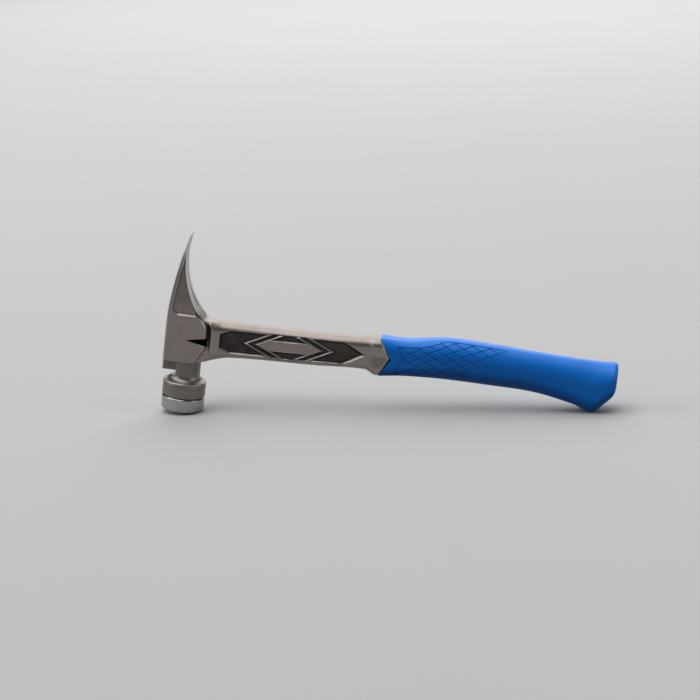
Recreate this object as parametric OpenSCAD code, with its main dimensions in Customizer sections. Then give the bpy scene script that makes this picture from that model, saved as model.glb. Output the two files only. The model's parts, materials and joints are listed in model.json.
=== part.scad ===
// Framing hammer: one casting of head, shank and tang, a screwed steel face and a moulded grip
// Built with the head's axis upright on the striking face, then laid to rest on the face's rim and the heel

/* [Overall] */
// Length along the handle, from the crown of the head to the end of the grip
overall_len = 404; // [390:1:430]
// Height of the head, from the striking face to the claw's tip
head_h = 162; // [154:0.5:168]

/* [Striking face] */
// Diameter of the striking face
face_d = 38.6; // [36:0.2:42]
// Height of the steel face under the bell
face_h = 12.6; // [9:0.2:15]
// Chamfer round the striking edge
face_chamfer = 1.2; // [0.6:0.1:2]
// Diameter of the screwed stud
stud_d = 16; // [12:0.5:18]
// Length of the stud inside the bell
stud_len = 12; // [9:0.5:12.5]
// Chamfer at the stud's end
stud_chamfer = 1.2; // [0.6:0.1:2]
// Clearance round the stud
stud_gap = 0.05; // [0.02:0.01:0.1]
// Free depth past the stud's end
stud_relief = 1.5; // [0.5:0.1:2]

/* [Washer] */
// Thickness of the black washer
washer_t = 0.8; // [0.5:0.1:1.5]
// How far the washer's edge lies inside the face's edge
washer_inset = 0.7; // [0.3:0.1:1.5]
// Clearance of the washer round the stud
washer_gap = 0.3; // [0.2:0.05:0.6]

/* [Bell and neck] */
// Diameter of the bell
bell_d = 39; // [37:0.2:42]
// Height of the bell's straight wall with its rounded rim
bell_h = 13.8; // [11:0.2:16]
// Rounding of the bell's rim
bell_round = 1.8; // [0.8:0.1:2.5]
// Height of the bell's shoulder, from its rim to the neck
shoulder_h = 3.6; // [2:0.2:5]
// Diameter of the neck
neck_d = 26; // [23:0.5:29]

/* [Head] */
// Distance of the crown from the head's axis
crown_x = 20.5; // [19.8:0.1:23]
// Thickness across the two cheeks
cheek_w = 26.4; // [25:0.2:30]
// Height of the cheeks' lower edge over the striking face
cheek_bottom = 45.5; // [43:0.5:48]
// Radius of the round boss at the cheeks' handle side
boss_r = 16; // [13:0.5:18]
// Distance of the boss's centre from the head's axis
boss_x = 0.5; // [-1:0.5:3]
// Height of the boss's centre over the striking face
boss_z = 74.5; // [72:0.5:77]
// Length of the slanted corner under the boss, along the handle
foot_run = 8.5; // [6:0.5:11]
// Height of the slanted corner under the boss
foot_rise = 14; // [11:0.5:17]
// Width of the round shoulder between the boss and the shank
shoulder_w = 5; // [4:0.5:7]
// Step from the cheek down to that shoulder
shoulder_step = 1.2; // [0.8:0.1:1.8]
// Width and depth of the groove round the boss
boss_groove = 1.1; // [0.8:0.1:1.6]

/* [Claw] */
// Radius of the crown's curve
crown_r = 272; // [240:2:320]
// Height where the crown begins to curve back
crown_z = 76; // [72:0.5:80]
// Radius of the hollow under the claw
hollow_r = 84; // [78:1:90]
// Drop from the claw's tip to the hollow's deepest place
hollow_drop = 20.5; // [16:0.5:24]
// Thickness of the claw at its tip
tip_t = 1.4; // [0.8:0.1:2.4]
// Width of the claw at its tip
tip_w = 16; // [14:0.2:19]
// Width of the claw halfway, where it starts to widen
mid_w = 17.4; // [16:0.2:21]
// Drop from the claw's tip to that place
mid_drop = 34; // [28:0.5:40]
// Drop from the claw's tip to its full width
root_drop = 68; // [60:0.5:72]
// Width of the nail slot at the claw's tip
slot_tip_w = 7.6; // [6.5:0.1:9]
// Width of the nail slot at its root
slot_root_w = 1.8; // [1.2:0.1:3]
// Drop from the claw's tip to the slot's root in the hollow
slot_drop = 65; // [58:0.5:67]
// How much higher the slot's root lies on the crown side
slot_rise = 18; // [12:0.5:24]
// Depth of the recess in each side of the claw
web_depth = 2; // [1:0.1:3]
// Width of the claw's rim along the crown
crown_rim = 5; // [4:0.2:7]
// Width of the claw's rim along the hollow
hollow_rim = 2; // [1.4:0.1:3]
// Drop from the claw's tip to the recess's upper end
web_drop = 20; // [17:0.5:28]

/* [Side nail puller] */
// Length of the V notch in each cheek
notch_len = 18.5; // [14:0.5:22]
// Height of the notch at its mouth
notch_h = 7.4; // [6:0.2:9]
// Depth of the notch
notch_depth = 7.5; // [6:0.5:9]
// Drop from the boss's centre to the notch
notch_drop = 8; // [6:0.5:10]

/* [Nail starter] */
// Height of the lip under the crown's side of the cheeks
lip_h = 8.6; // [6:0.2:9]
// Width of the lip
lip_w = 20; // [16:0.5:24]
// Distance of the flat wall behind the nail's head from the head's axis
pocket_x = 8; // [7:0.2:9]
// Diameter of the magnet
magnet_d = 5; // [4:0.2:5.6]
// Length of the magnet
magnet_len = 4; // [3:0.2:5]
// Depth of the magnet's face under that wall
magnet_inset = 0.4; // [0.3:0.1:0.8]

/* [Shank] */
// Thickness of the shank
shank_w = 22.4; // [20:0.2:23.6]
// Height of the shank's top line over the striking face, at the head
shank_top = 85.2; // [83:0.2:87]
// Rise of the top line from the head to the grip
shank_rise = 4.2; // [2:0.2:5.4]
// Height of the shank beside the head
shank_h_head = 37.6; // [36:0.2:40]
// Height of the shank past the head's root
shank_h_root = 32; // [30:0.2:34]
// Height of the shank at its slimmest
shank_h_slim = 29.4; // [27:0.2:31]
// Height of the shank at the grip
shank_h_grip = 34.4; // [33:0.2:35.2]
// Rounding of the shank's long edges
shank_round = 5.2; // [3:0.2:7]
// Distance of the grip's front from the head's axis, at the top and bottom
collar_x = 171; // [165:1:178]
// How far the shank's arrow-shaped end reaches into the grip
collar_point = 11.6; // [8:0.2:15]

/* [Side panel] */
// Start of the recessed panel, from the head's axis
panel_x0 = 28; // [26:0.5:32]
// End of the recessed panel, from the head's axis
panel_x1 = 160; // [150:0.5:163]
// Height of the panel
panel_h = 22.8; // [20:0.2:24]
// Depth of the panel
panel_depth = 1.6; // [1.2:0.1:2]
// Length of the panel's slanted ends
panel_taper = 20; // [14:0.5:24]
// How far the middle of the panel bulges up and down
panel_bulge = 1.2; // [0.5:0.1:2]
// Length of that bulge
bulge_len = 30; // [24:0.5:40]
// Drop of the panel's middle line under the shank's, at the grip
panel_drop = 0.5; // [0:0.1:2]
// Distance of the panel's bulge and bars from its middle, towards the head
panel_shift = 3; // [0:0.5:6]
// Distance from that place to the points of the inner bars
bar_reach = 31; // [26:0.5:34]
// Distance between the inner and the outer bars
bar_pitch = 10.4; // [8:0.2:12]
// Width of a bar, along the handle
bar_w = 5.2; // [3:0.2:6]
// Run of a bar along the handle, for each millimetre that it rises
bar_run = 2.1; // [1.6:0.1:2.6]
// Rise of a bar's ends over its point
bar_rise = 10.6; // [9:0.2:11]
// Height of the raised plate between the inner bars
plate_h = 11; // [9:0.2:12]
// How far the plate and the bars stand over the panel's floor
plate_t = 1; // [0.5:0.1:1.3]

/* [Grip] */
// Height of the grip's top line over the striking face, behind the collar
grip_top = 90.4; // [89.6:0.2:92]
// Rise of the top line to the grip's hump
hump_rise = 5.4; // [3:0.2:7]
// Height of the grip at its front
grip_h_front = 35.4; // [35.2:0.2:37]
// Height of the grip at its slimmest
grip_h_slim = 32.6; // [31:0.2:35]
// Height of the grip at the hump
grip_h_hump = 36.6; // [34:0.2:39]
// Height of the grip before the flare
grip_h_neck = 35.8; // [33:0.2:38]
// Height of the grip at the heel
grip_h_heel = 45; // [42:0.2:48]
// Width of the grip at its front
grip_w_front = 23.6; // [23:0.2:26]
// Width of the grip at the hump
grip_w_hump = 30; // [27:0.2:33]
// Width of the grip before the flare
grip_w_neck = 28; // [26:0.2:31]
// Width of the grip at the heel
grip_w_heel = 33; // [29:0.2:36]
// Length of the slanted heel, along the handle
heel_run = 16; // [13:0.5:20]
// Height of the slanted heel
heel_rise = 18; // [15:0.5:21]
// Rounding of the butt's edge
butt_round = 3.6; // [2:0.2:4.4]

/* [Tang] */
// Thickness of the tang inside the grip
tang_w = 12; // [10:0.5:14]
// Height of the tang at the shank
tang_h_root = 24; // [20:0.5:26]
// Height of the tang at its end
tang_h_end = 16; // [13:0.5:19]
// Distance of the tang's end from the end of the grip
tang_end = 34; // [28:1:60]
// Diameter of the holes that lock the grip on the tang
lock_d = 7; // [5:0.5:9]
// Number of those holes
lock_count = 4; // [2:1:6]

/* [Hidden] */

titanium = "#8c857f";
steel = "#c9cacc";
black_rubber = "#161616";
magnet_nickel = "#b5b6b8";
grip_blue = "#2b6fdb";

// Overlap that a cut runs past the solid it cuts
past = 2;
// Facets of a full circle, and of a large one
fine = 96;
finest = 360;
// Points on each rounded corner of a loft's section
corner_n = 6;
// Largest share of a half section that its corners may take
corner_limit = 0.98;
// Angle between the points of a rounded edge
arc_step = 15;
// Distance between the sections of a loft, at most
loft_step = 7;

face_r = face_d / 2;
stud_r = stud_d / 2;
bell_r = bell_d / 2;
neck_r = neck_d / 2;
bell_z = face_h + washer_t;
rim_z = bell_z + bell_h;
neck_z = rim_z + shoulder_h;
butt_x = overall_len - crown_x;

// Crown and hollow of the claw, as two circles in side view
crown_c = [crown_r - crown_x, crown_z];
function crown_at(z) = crown_c.x - sqrt(crown_r * crown_r - (z - crown_c.y) * (z - crown_c.y));
tip_x = crown_at(head_h) + tip_t;
hollow_z = head_h - hollow_drop;
hollow_c = [tip_x + sqrt(hollow_r * hollow_r - hollow_drop * hollow_drop), hollow_z];
function hollow_at(z) = hollow_c.x - sqrt(hollow_r * hollow_r - (z - hollow_z) * (z - hollow_z));
boss_top = boss_z + boss_r;
nose_x = boss_x + boss_r;
foot_z = cheek_bottom + foot_rise;
notch_z = boss_z - notch_drop;
shoulder_half = cheek_w / 2 - shoulder_step;
shank_half = shank_w / 2;

// Top line of the shank: straight at the head, then a rising curve
top_power = 3;
function shank_top_at(x) =
    shank_top + shank_rise * pow(max(0, x - panel_x0) / (collar_x - panel_x0), top_power);
// Stations of the shank: place along the handle, top and bottom
slim_x = (panel_x0 + 2 * panel_x1) / 3;
shank_stations = [
    for (s = [
        [boss_x, shank_h_head],
        [nose_x, shank_h_head],
        [panel_x0 + panel_taper / 2, shank_h_root],
        [slim_x, shank_h_slim],
        [panel_x1, shank_h_slim],
        [collar_x, shank_h_grip],
        [collar_x + 2 * collar_point, shank_h_grip],
    ])
        let (top = shank_top_at(min(s[0], collar_x)))
        [s[0], top, top - s[1]]
];

// Places along the grip, as shares of its length
slim_share = 0.11;
hump_share = 0.27;
hump_end_share = 0.45;
neck_share = 0.66;
flare_share = 0.83;
grip_len = butt_x - collar_x;
heel_x = butt_x - heel_run;
function grip_x(share) = collar_x + grip_len * share;
// Top line of the grip: up to the hump, then down by two steps to the heel
hump_top = grip_top + hump_rise;
neck_top = hump_top - hump_rise / 3;
heel_top = hump_top - hump_rise / 2;
heel_z = heel_top - grip_h_heel;
flare_h = (grip_h_neck + grip_h_heel) / 2;
flare_w = (grip_w_neck + grip_w_heel) / 2;
slim_w = (2 * grip_w_front + grip_w_hump) / 3;
// Stations of the grip: place along the handle, top, bottom and width
grip_stations = [
    [collar_x - collar_point, grip_top, grip_top - grip_h_front, grip_w_front],
    [collar_x, grip_top, grip_top - grip_h_front, grip_w_front],
    [grip_x(slim_share), grip_top, grip_top - grip_h_slim, slim_w],
    [grip_x(hump_share), hump_top, hump_top - grip_h_hump, grip_w_hump],
    [grip_x(hump_end_share), hump_top, hump_top - grip_h_hump, grip_w_hump],
    [grip_x(neck_share), neck_top, neck_top - grip_h_neck, grip_w_neck],
    [grip_x(flare_share), heel_top, heel_top - flare_h, flare_w],
    [heel_x, heel_top, heel_z, grip_w_heel],
    [butt_x, heel_top + hump_rise / 6, heel_z + heel_rise, grip_w_heel],
];

// Rest pose: the striking face's handle side and the heel both touch the ground
rest_x = face_r - face_chamfer;
droop = atan2(heel_z, heel_x - rest_x);
lift = rest_x * sin(droop);
function placed_x(x, z) = x * cos(droop) + z * sin(droop);
back_x = placed_x(-face_r, face_chamfer);

// Smooth value of column k of a list of stations, at a place along the handle
function span_of(st, x, i = 0) =
    (i >= len(st) - 2 || x <= st[i + 1][0]) ? i : span_of(st, x, i + 1);
function tangent(st, i, k) =
    let (a = max(0, i - 1), b = min(len(st) - 1, i + 1))
    (st[b][k] - st[a][k]) / (st[b][0] - st[a][0]);
function smooth_at(st, x, k) =
    let (i = span_of(st, x))
    let (w = st[i + 1][0] - st[i][0])
    let (t = (x - st[i][0]) / w)
    st[i][k] * (1 + 2 * t) * (1 - t) * (1 - t)
        + st[i + 1][k] * t * t * (3 - 2 * t)
        + tangent(st, i, k) * w * t * (1 - t) * (1 - t)
        - tangent(st, i + 1, k) * w * t * t * (1 - t);

// Straight value between two stations
function straight_at(st, x, k) =
    let (i = span_of(st, x))
    st[i][k] + (st[i + 1][k] - st[i][k]) * (x - st[i][0]) / (st[i + 1][0] - st[i][0]);

// One section of a loft: a rectangle whose corners are quarter ellipses
function section(x, top, bottom, half, round_y, round_z) =
    let (ry = min(round_y, half * corner_limit))
    let (rz = min(round_z, (top - bottom) / 2 * corner_limit))
    [
        for (q = [0:3], s = [0:corner_n])
            let (a = 90 * q + 90 * s / corner_n)
            let (cy = (q == 0 || q == 3 ? 1 : -1) * (half - ry))
            let (cz = q < 2 ? top - rz : bottom + rz)
            [x, cy + ry * cos(a), cz + rz * sin(a)]
    ];

// A closed solid through a list of sections with equal numbers of points
module loft(rings) {
    n = len(rings[0]);
    last = (len(rings) - 1) * n;
    quads = [
        for (i = [0:n:last - n], j = [0:n - 1])
            let (k = (j + 1) % n)
            [i + j, i + n + j, i + n + k, i + k]
    ];
    polyhedron(
        points = [for (r = rings) each r],
        faces = concat(
            [[for (j = [0:n - 1]) j]],
            [for (q = quads) [q[0], q[1], q[2]]],
            [for (q = quads) [q[0], q[2], q[3]]],
            [[for (j = [n - 1:-1:0]) last + j]]
        )
    );
}

// Places of the sections between two ends, no more than loft_step apart
function places(a, b) =
    let (n = ceil((b - a) / loft_step))
    [for (i = [0:n]) a + (b - a) * i / n];

shank_rings = [
    for (x = places(boss_x, collar_x + collar_point + past))
        section(
            x, smooth_at(shank_stations, x, 1), smooth_at(shank_stations, x, 2),
            shank_half, shank_round, shank_round
        )
];

// Rounding of the grip's section: nearly oval at the hump, squarer at the butt
function grip_section(x, inset, round_share) =
    let (xs = min(x, heel_x))
    let (half = smooth_at(grip_stations, xs, 3) / 2 - inset)
    let (top = x < heel_x ? smooth_at(grip_stations, x, 1) : straight_at(grip_stations, x, 1))
    let (bottom = x < heel_x ? smooth_at(grip_stations, x, 2) : straight_at(grip_stations, x, 2))
    section(x, top - inset, bottom + inset, half, half * round_share, (top - bottom) / 2 * round_share);

front_share = 0.5;
oval_share = 0.86;
heel_share = 0.62;
round_stations = [
    [collar_x - collar_point, front_share],
    [collar_x, front_share],
    [grip_x(hump_share), oval_share],
    [grip_x(neck_share), oval_share],
    [heel_x, heel_share],
];
function round_share_at(x) = straight_at(round_stations, x, 1);
grip_rings = concat(
    [for (x = places(collar_x - past, heel_x)) grip_section(x, 0, round_share_at(x))],
    [for (x = [heel_x + heel_run / 3, heel_x + heel_run * 2 / 3]) grip_section(x, 0, heel_share)],
    [
        for (a = [0:arc_step:90])
            grip_section(butt_x - butt_round * (1 - sin(a)), butt_round * (1 - cos(a)), heel_share)
    ]
);

// Middle of the placed hammer, between the striking face's back edge and the butt
front_x = max([for (r = grip_rings) for (p = r) placed_x(p.x, p.z)]);
middle_x = (back_x + front_x) / 2;

// Lays an upright hammer on the ground, its middle over the origin
module rest_pose() {
    translate([-middle_x, 0, lift])
        rotate([0, droop, 0])
            children();
}

// A side outline, drawn along the handle and upwards, given thickness across the hammer
module across(w) {
    rotate([90, 0, 0])
        linear_extrude(w, center = true)
            children();
}

// The same outline on both sides only, outside a middle of the given thickness
module both_sides(core, reach) {
    for (side = [-1, 1])
        translate([0, side * (core + reach) / 4, 0])
            across((reach - core) / 2)
                children();
}

// Cheek outline in side view, from the crown to the round boss
module cheek_outline() {
    translate([boss_x, boss_z])
        circle(boss_r, $fn = fine);
    polygon([
        [-crown_x, cheek_bottom],
        [nose_x - foot_run, cheek_bottom],
        [nose_x, foot_z],
        [nose_x, boss_z],
        [boss_x, boss_top],
        [-crown_x, boss_top],
    ]);
}

// Claw outline in side view, between the crown's circle and the hollow's circle
module claw_outline() {
    difference() {
        intersection() {
            translate(crown_c)
                circle(crown_r, $fn = finest);
            translate([-2 * crown_x, crown_z])
                square([2 * crown_x + nose_x, head_h - crown_z]);
        }
        translate(hollow_c)
            circle(hollow_r, $fn = finest);
        translate([boss_x, crown_z])
            square([2 * nose_x, boss_top - crown_z]);
    }
}

// Block of the head as seen from the front, widening from the claw's tip to the cheeks
module front_block(inset) {
    half = [
        [tip_w / 2 - inset, head_h + past],
        [mid_w / 2 - inset, head_h - mid_drop],
        [cheek_w / 2 - inset, head_h - root_drop],
        [cheek_w / 2 - inset, cheek_bottom - past],
    ];
    rotate([90, 0, 90])
        linear_extrude(4 * crown_x, center = true)
            polygon(concat(half, [for (i = [len(half) - 1:-1:0]) [-half[i].x, half[i].y]]));
}

// Recess in the claw's side, inside its crown rim, its hollow rim and the cheek's top edge
module web_outline() {
    web_top = head_h - web_drop;
    difference() {
        intersection() {
            translate(crown_c)
                circle(crown_r - crown_rim, $fn = finest);
            translate([-crown_x, boss_top])
                square([crown_x + nose_x, web_top - boss_top]);
        }
        translate(hollow_c)
            circle(hollow_r + hollow_rim, $fn = finest);
    }
}

// Nail slot: a V in front view that ends on a slant from the hollow up to the crown
module nail_slot() {
    root_z = head_h - slot_drop;
    root_x = hollow_at(root_z);
    reach = 2 * crown_x;
    intersection() {
        rotate([90, 0, 90])
            linear_extrude(2 * reach, center = true)
                polygon([
                    [-slot_tip_w / 2, head_h + past],
                    [-slot_root_w / 2, root_z],
                    [slot_root_w / 2, root_z],
                    [slot_tip_w / 2, head_h + past],
                ]);
        across(slot_tip_w + past)
            polygon([
                [-crown_x - past, root_z + slot_rise],
                [root_x, root_z],
                [reach, root_z],
                [reach, head_h + 2 * past],
                [-crown_x - past, head_h + 2 * past],
            ]);
    }
}

// V notch of the side nail puller
module notch_outline() {
    polygon([
        [nose_x - notch_len, notch_z],
        [nose_x + boss_groove, notch_z + notch_h / 2],
        [nose_x + boss_groove, notch_z - notch_h / 2],
    ]);
}

// Round shoulder between the cheek and the shank, under the claw's hollow
module shoulder_outline() {
    difference() {
        union() {
            translate([boss_x, boss_z])
                circle(boss_r + shoulder_w, $fn = fine);
            polygon([
                [boss_x, cheek_bottom],
                [nose_x - foot_run + shoulder_w, cheek_bottom],
                [nose_x + shoulder_w, foot_z],
                [nose_x + shoulder_w, boss_z],
                [boss_x, boss_z],
            ]);
        }
        translate(hollow_c)
            circle(hollow_r, $fn = finest);
        translate([boss_x - 2 * boss_r, shank_top])
            square(4 * boss_r);
    }
}

// Groove that sets the boss off from its shoulder
module boss_groove_outline() {
    difference() {
        translate([boss_x, boss_z])
            circle(boss_r + boss_groove, $fn = fine);
        translate([boss_x, boss_z])
            circle(boss_r, $fn = fine);
        translate([boss_x - 2 * boss_r, boss_z - 2 * boss_r])
            square([2 * boss_r, 4 * boss_r]);
        translate([boss_x, boss_z - 2 * boss_r])
            square([2 * boss_r, 2 * boss_r]);
    }
    translate([nose_x, foot_z])
        square([boss_groove, boss_z - foot_z]);
}

// Middle line and half height of the side panel
panel_mid0 = shank_top_at(panel_x0) - shank_h_root / 2;
panel_mid1 = shank_top_at(panel_x1) - shank_h_slim / 2 - panel_drop;
function panel_mid(x) = panel_mid0 + (panel_mid1 - panel_mid0) * (x - panel_x0) / (panel_x1 - panel_x0);
panel_c = (panel_x0 + panel_x1) / 2 - panel_shift;
panel_half = panel_h / 2;
bulge_end = bulge_len / 2 + 2 * panel_bulge;

// Upper edge of the panel over its middle line, from end to end
panel_blunt = 0.6;
panel_edge = [
    [panel_x0, panel_half * panel_blunt],
    [panel_x0 + panel_taper / 2, panel_half],
    [panel_c - bulge_end, panel_half],
    [panel_c - bulge_len / 2, panel_half + panel_bulge],
    [panel_c + bulge_len / 2, panel_half + panel_bulge],
    [panel_c + bulge_end, panel_half],
    [panel_x1 - panel_taper, panel_half],
    [panel_x1, 0],
];

// An outline given along the panel's middle line, laid on the shank
module on_panel(points) {
    polygon([for (p = points) [p.x, panel_mid(p.x) + p.y]]);
}

module panel_outline() {
    last = len(panel_edge) - 1;
    lower = [for (i = [last - 1:-1:0]) [panel_edge[i].x, -panel_edge[i].y]];
    on_panel(concat(panel_edge, lower));
}

// Pointed bare plate in the middle of the panel, joined with the inner bars
module plate_outline() {
    a = bar_reach - bar_w / 2;
    h = plate_h / 2;
    b = a - bar_run * h;
    on_panel([for (p = [[-a, 0], [-b, h], [b, h], [a, 0], [b, -h], [-b, -h]]) [panel_c + p.x, p.y]]);
}

// Arrow-shaped bar with its point on the middle line
module bar_outline(point_x, dir) {
    run = dir * bar_run * bar_rise;
    inner_x = point_x - dir * bar_w;
    on_panel([
        [point_x, 0],
        [point_x - run, bar_rise],
        [inner_x - run, bar_rise],
        [inner_x, 0],
        [inner_x - run, -bar_rise],
        [point_x - run, -bar_rise],
    ]);
}

// Boundary between the shank and the grip in side view: everything on the grip's side
module grip_side_outline() {
    far = butt_x + 4 * past;
    mid_z = shank_top_at(collar_x) - shank_h_grip / 2;
    polygon([
        [collar_x, mid_z + shank_h_grip],
        [collar_x, mid_z + shank_h_grip / 2 + past],
        [collar_x + collar_point, mid_z],
        [collar_x, mid_z - shank_h_grip / 2 - past],
        [collar_x, 0],
        [far, 0],
        [far, mid_z + shank_h_grip],
    ]);
}

// Tang inside the grip, with the holes that the grip's rubber fills
tang_x0 = collar_x - panel_taper / 2;
tang_x1 = butt_x - tang_end;
function grip_mid(x) = (smooth_at(grip_stations, x, 1) + smooth_at(grip_stations, x, 2)) / 2;
module tang() {
    mid0 = grip_mid(collar_x);
    mid1 = grip_mid(grip_x(neck_share));
    end_r = tang_h_end / 2;
    hole_x0 = collar_x + collar_point + 2 * lock_d;
    pitch = (tang_x1 - end_r - hole_x0) / lock_count;
    slope = (mid1 - mid0) / (tang_x1 - tang_x0);
    difference() {
        across(tang_w) {
            polygon([
                [tang_x0, mid0 + tang_h_root / 2],
                [tang_x1 - end_r, mid1 + end_r],
                [tang_x1 - end_r, mid1 - end_r],
                [tang_x0, mid0 - tang_h_root / 2],
            ]);
            translate([tang_x1 - end_r, mid1])
                circle(end_r, $fn = fine);
        }
        for (i = [0:lock_count - 1])
            translate([hole_x0 + i * pitch, 0, mid0 + slope * (hole_x0 + i * pitch - tang_x0)])
                rotate([90, 0, 0])
                    cylinder(h = tang_w + past, d = lock_d, center = true, $fn = fine);
    }
}

// Bell, its shoulder and the neck, turned about the head's axis
module bell_and_neck() {
    rotate_extrude($fn = fine)
        polygon(concat(
            [[0, bell_z], [bell_r, bell_z]],
            [
                for (a = [0:arc_step:90])
                    [bell_r - bell_round + bell_round * cos(a), rim_z - bell_round + bell_round * sin(a)]
            ],
            [
                for (a = [0:arc_step:90])
                    let (run = bell_r - bell_round - neck_r)
                    [neck_r + run * (1 - sin(a)), neck_z - shoulder_h * cos(a)]
            ],
            [[neck_r, boss_z], [0, boss_z]]
        ));
}

// Lip over the nail's head, on the crown's side of the neck
lip_z = cheek_bottom - lip_h;
module nail_lip() {
    translate([-crown_x, -lip_w / 2, lip_z])
        cube([crown_x - pocket_x + past, lip_w, lip_h + past]);
}

// Room for the nail's head, between the bell's rim and the lip
module nail_pocket() {
    floor_z = rim_z + shoulder_h / 3;
    translate([-2 * crown_x, -bell_d / 2, floor_z])
        cube([2 * crown_x - pocket_x, bell_d, cheek_bottom - floor_z]);
}

// Place of the magnet, midway between the bell's shoulder and the lip
magnet_z = (neck_z + lip_z) / 2;
magnet_x = -pocket_x + magnet_inset;

module magnet_blank(len) {
    translate([magnet_x, 0, magnet_z])
        rotate([0, 90, 0])
            cylinder(h = len, d = magnet_d, $fn = fine);
}

module head() {
    difference() {
        union() {
            intersection() {
                across(cheek_w + past) {
                    cheek_outline();
                    claw_outline();
                }
                front_block(0);
            }
            across(2 * shoulder_half)
                shoulder_outline();
            difference() {
                bell_and_neck();
                nail_pocket();
            }
            nail_lip();
        }
        difference() {
            across(cheek_w + past)
                web_outline();
            front_block(web_depth);
        }
        both_sides(cheek_w - 2 * notch_depth, cheek_w + past)
            notch_outline();
        both_sides(2 * (shoulder_half - boss_groove), cheek_w + past)
            boss_groove_outline();
        nail_slot();
        translate([0, 0, bell_z - past])
            cylinder(h = stud_len + stud_relief + past, r = stud_r + stud_gap, $fn = fine);
        translate([-past, 0, 0])
            magnet_blank(magnet_len + past);
    }
}

module shank() {
    difference() {
        loft(shank_rings);
        across(cheek_w + past)
            grip_side_outline();
        both_sides(shank_w - 2 * panel_depth, shank_w + past)
            panel_outline();
        both_sides(cheek_w - 2 * notch_depth, cheek_w + past)
            notch_outline();
    }
    intersection() {
        across(shank_w - 2 * (panel_depth - plate_t)) {
            plate_outline();
            for (dir = [-1, 1], row = [0, 1])
                bar_outline(panel_c + dir * (bar_reach + row * bar_pitch), dir);
        }
        loft(shank_rings);
    }
}

module hammer_body() {
    color(titanium)
        rest_pose() {
            head();
            shank();
            tang();
        }
}

module striking_face() {
    stud_top = bell_z + stud_len;
    color(steel)
        rest_pose()
            rotate_extrude($fn = fine)
                polygon([
                    [0, 0],
                    [face_r - face_chamfer, 0],
                    [face_r, face_chamfer],
                    [face_r, face_h - face_chamfer / 2],
                    [face_r - face_chamfer / 2, face_h],
                    [stud_r, face_h],
                    [stud_r, stud_top - stud_chamfer],
                    [stud_r - stud_chamfer, stud_top],
                    [0, stud_top],
                ]);
}

module face_washer() {
    color(black_rubber)
        rest_pose()
            translate([0, 0, face_h])
                difference() {
                    cylinder(h = washer_t, r = face_r - washer_inset, $fn = fine);
                    translate([0, 0, -past])
                        cylinder(h = washer_t + 2 * past, r = stud_r + washer_gap, $fn = fine);
                }
}

module nail_magnet() {
    color(magnet_nickel)
        rest_pose()
            magnet_blank(magnet_len);
}

module grip() {
    color(grip_blue)
        rest_pose()
            difference() {
                intersection() {
                    loft(grip_rings);
                    across(2 * grip_w_heel)
                        grip_side_outline();
                }
                tang();
            }
}

hammer_body();
striking_face();
face_washer();
nail_magnet();
grip();
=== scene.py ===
"""Framing hammer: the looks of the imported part.

Each operator makes one piece, or the stage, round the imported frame. Shapes are worked out in
millimetres in the hammer's own frame: x along the handle, y across, z up the head's axis from
the striking face. One matrix takes them to the part's frame in metres.
"""

import json
import math

import bpy
import numpy as np
from bpy.props import FloatProperty, FloatVectorProperty, IntProperty, PointerProperty
from mathutils import Matrix, Vector
from mathutils.geometry import delaunay_2d_cdt


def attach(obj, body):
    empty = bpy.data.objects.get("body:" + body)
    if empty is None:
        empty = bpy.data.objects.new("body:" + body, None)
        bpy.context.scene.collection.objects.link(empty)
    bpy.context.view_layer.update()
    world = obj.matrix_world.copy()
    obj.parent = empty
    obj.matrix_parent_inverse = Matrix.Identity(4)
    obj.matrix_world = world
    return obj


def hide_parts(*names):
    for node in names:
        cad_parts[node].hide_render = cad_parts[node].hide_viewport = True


bl_info = {
    "name": "Framing hammer",
    "version": (1, 0, 0),
    "blender": (4, 5, 0),
    "location": "View3D > Sidebar > Hammer",
    "description": "Makes a framing hammer's casting, face, washer, magnet and grip, and a stage for them",
    "category": "Object",
}

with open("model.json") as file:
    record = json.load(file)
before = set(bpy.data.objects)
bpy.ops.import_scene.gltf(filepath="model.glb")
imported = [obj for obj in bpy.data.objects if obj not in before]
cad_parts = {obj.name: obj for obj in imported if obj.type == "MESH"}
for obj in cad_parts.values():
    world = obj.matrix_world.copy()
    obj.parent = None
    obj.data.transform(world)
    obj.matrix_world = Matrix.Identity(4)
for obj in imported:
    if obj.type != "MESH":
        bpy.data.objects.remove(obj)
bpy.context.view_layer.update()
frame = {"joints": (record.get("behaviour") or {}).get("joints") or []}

MM = 0.001

# The hammer's own frame, from the joint that the striking face turns on
turn = next(j for j in frame["joints"] if j["name"] == "face_turn")
up = -Vector(turn["axis"])
along = Vector((up.z, 0, -up.x))
AXES = np.array([along, (0, 1, 0), up])
ORIGIN = np.array(Vector(turn["pos_m"]))


def to_part(points):
    """Points in the hammer's millimetres, as points of the part's frame in metres."""
    return ORIGIN + np.asarray(points) @ AXES * MM


# Sizes of the casting, in millimetres

# Arcs of the crown and of the claw's hollow side, and the claw's tip
CROWN_X, CROWN_Z, CROWN_R = 20.5, 76.0, 272.0
HOLLOW_X, HOLLOW_Z, HOLLOW_R = 76.31, 141.5, 84.0
HEAD_TOP = 162.0
# Half thickness of the head at three heights, how far its changes are spread, and the web's depth
TAPER_Z, TAPER_HALF = (94.0, 128.0, 164.0), (13.2, 8.7, 8.0)
TAPER_SPREAD = (-6, -3, 0, 3, 6)
WEB_DEPTH = 2.0
# The cheek with the cut corner of its plate, its round end and its foot over the neck
CHEEK_HALF, CHEEK_LOW, CHEEK_TOP = 13.2, 45.5, 90.2
BLOCK_TOP = CROWN_Z + 4
PLATE_CORNER = ((-11.2, CHEEK_TOP), (-15.8, CHEEK_TOP + 3.2))
BOSS_X, BOSS_Z, BOSS_R = 0.5, 74.5, 16.4
NOSE_X = BOSS_X + BOSS_R
FOOT = ((8.1, CHEEK_LOW), (NOSE_X, 60.0))
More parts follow.
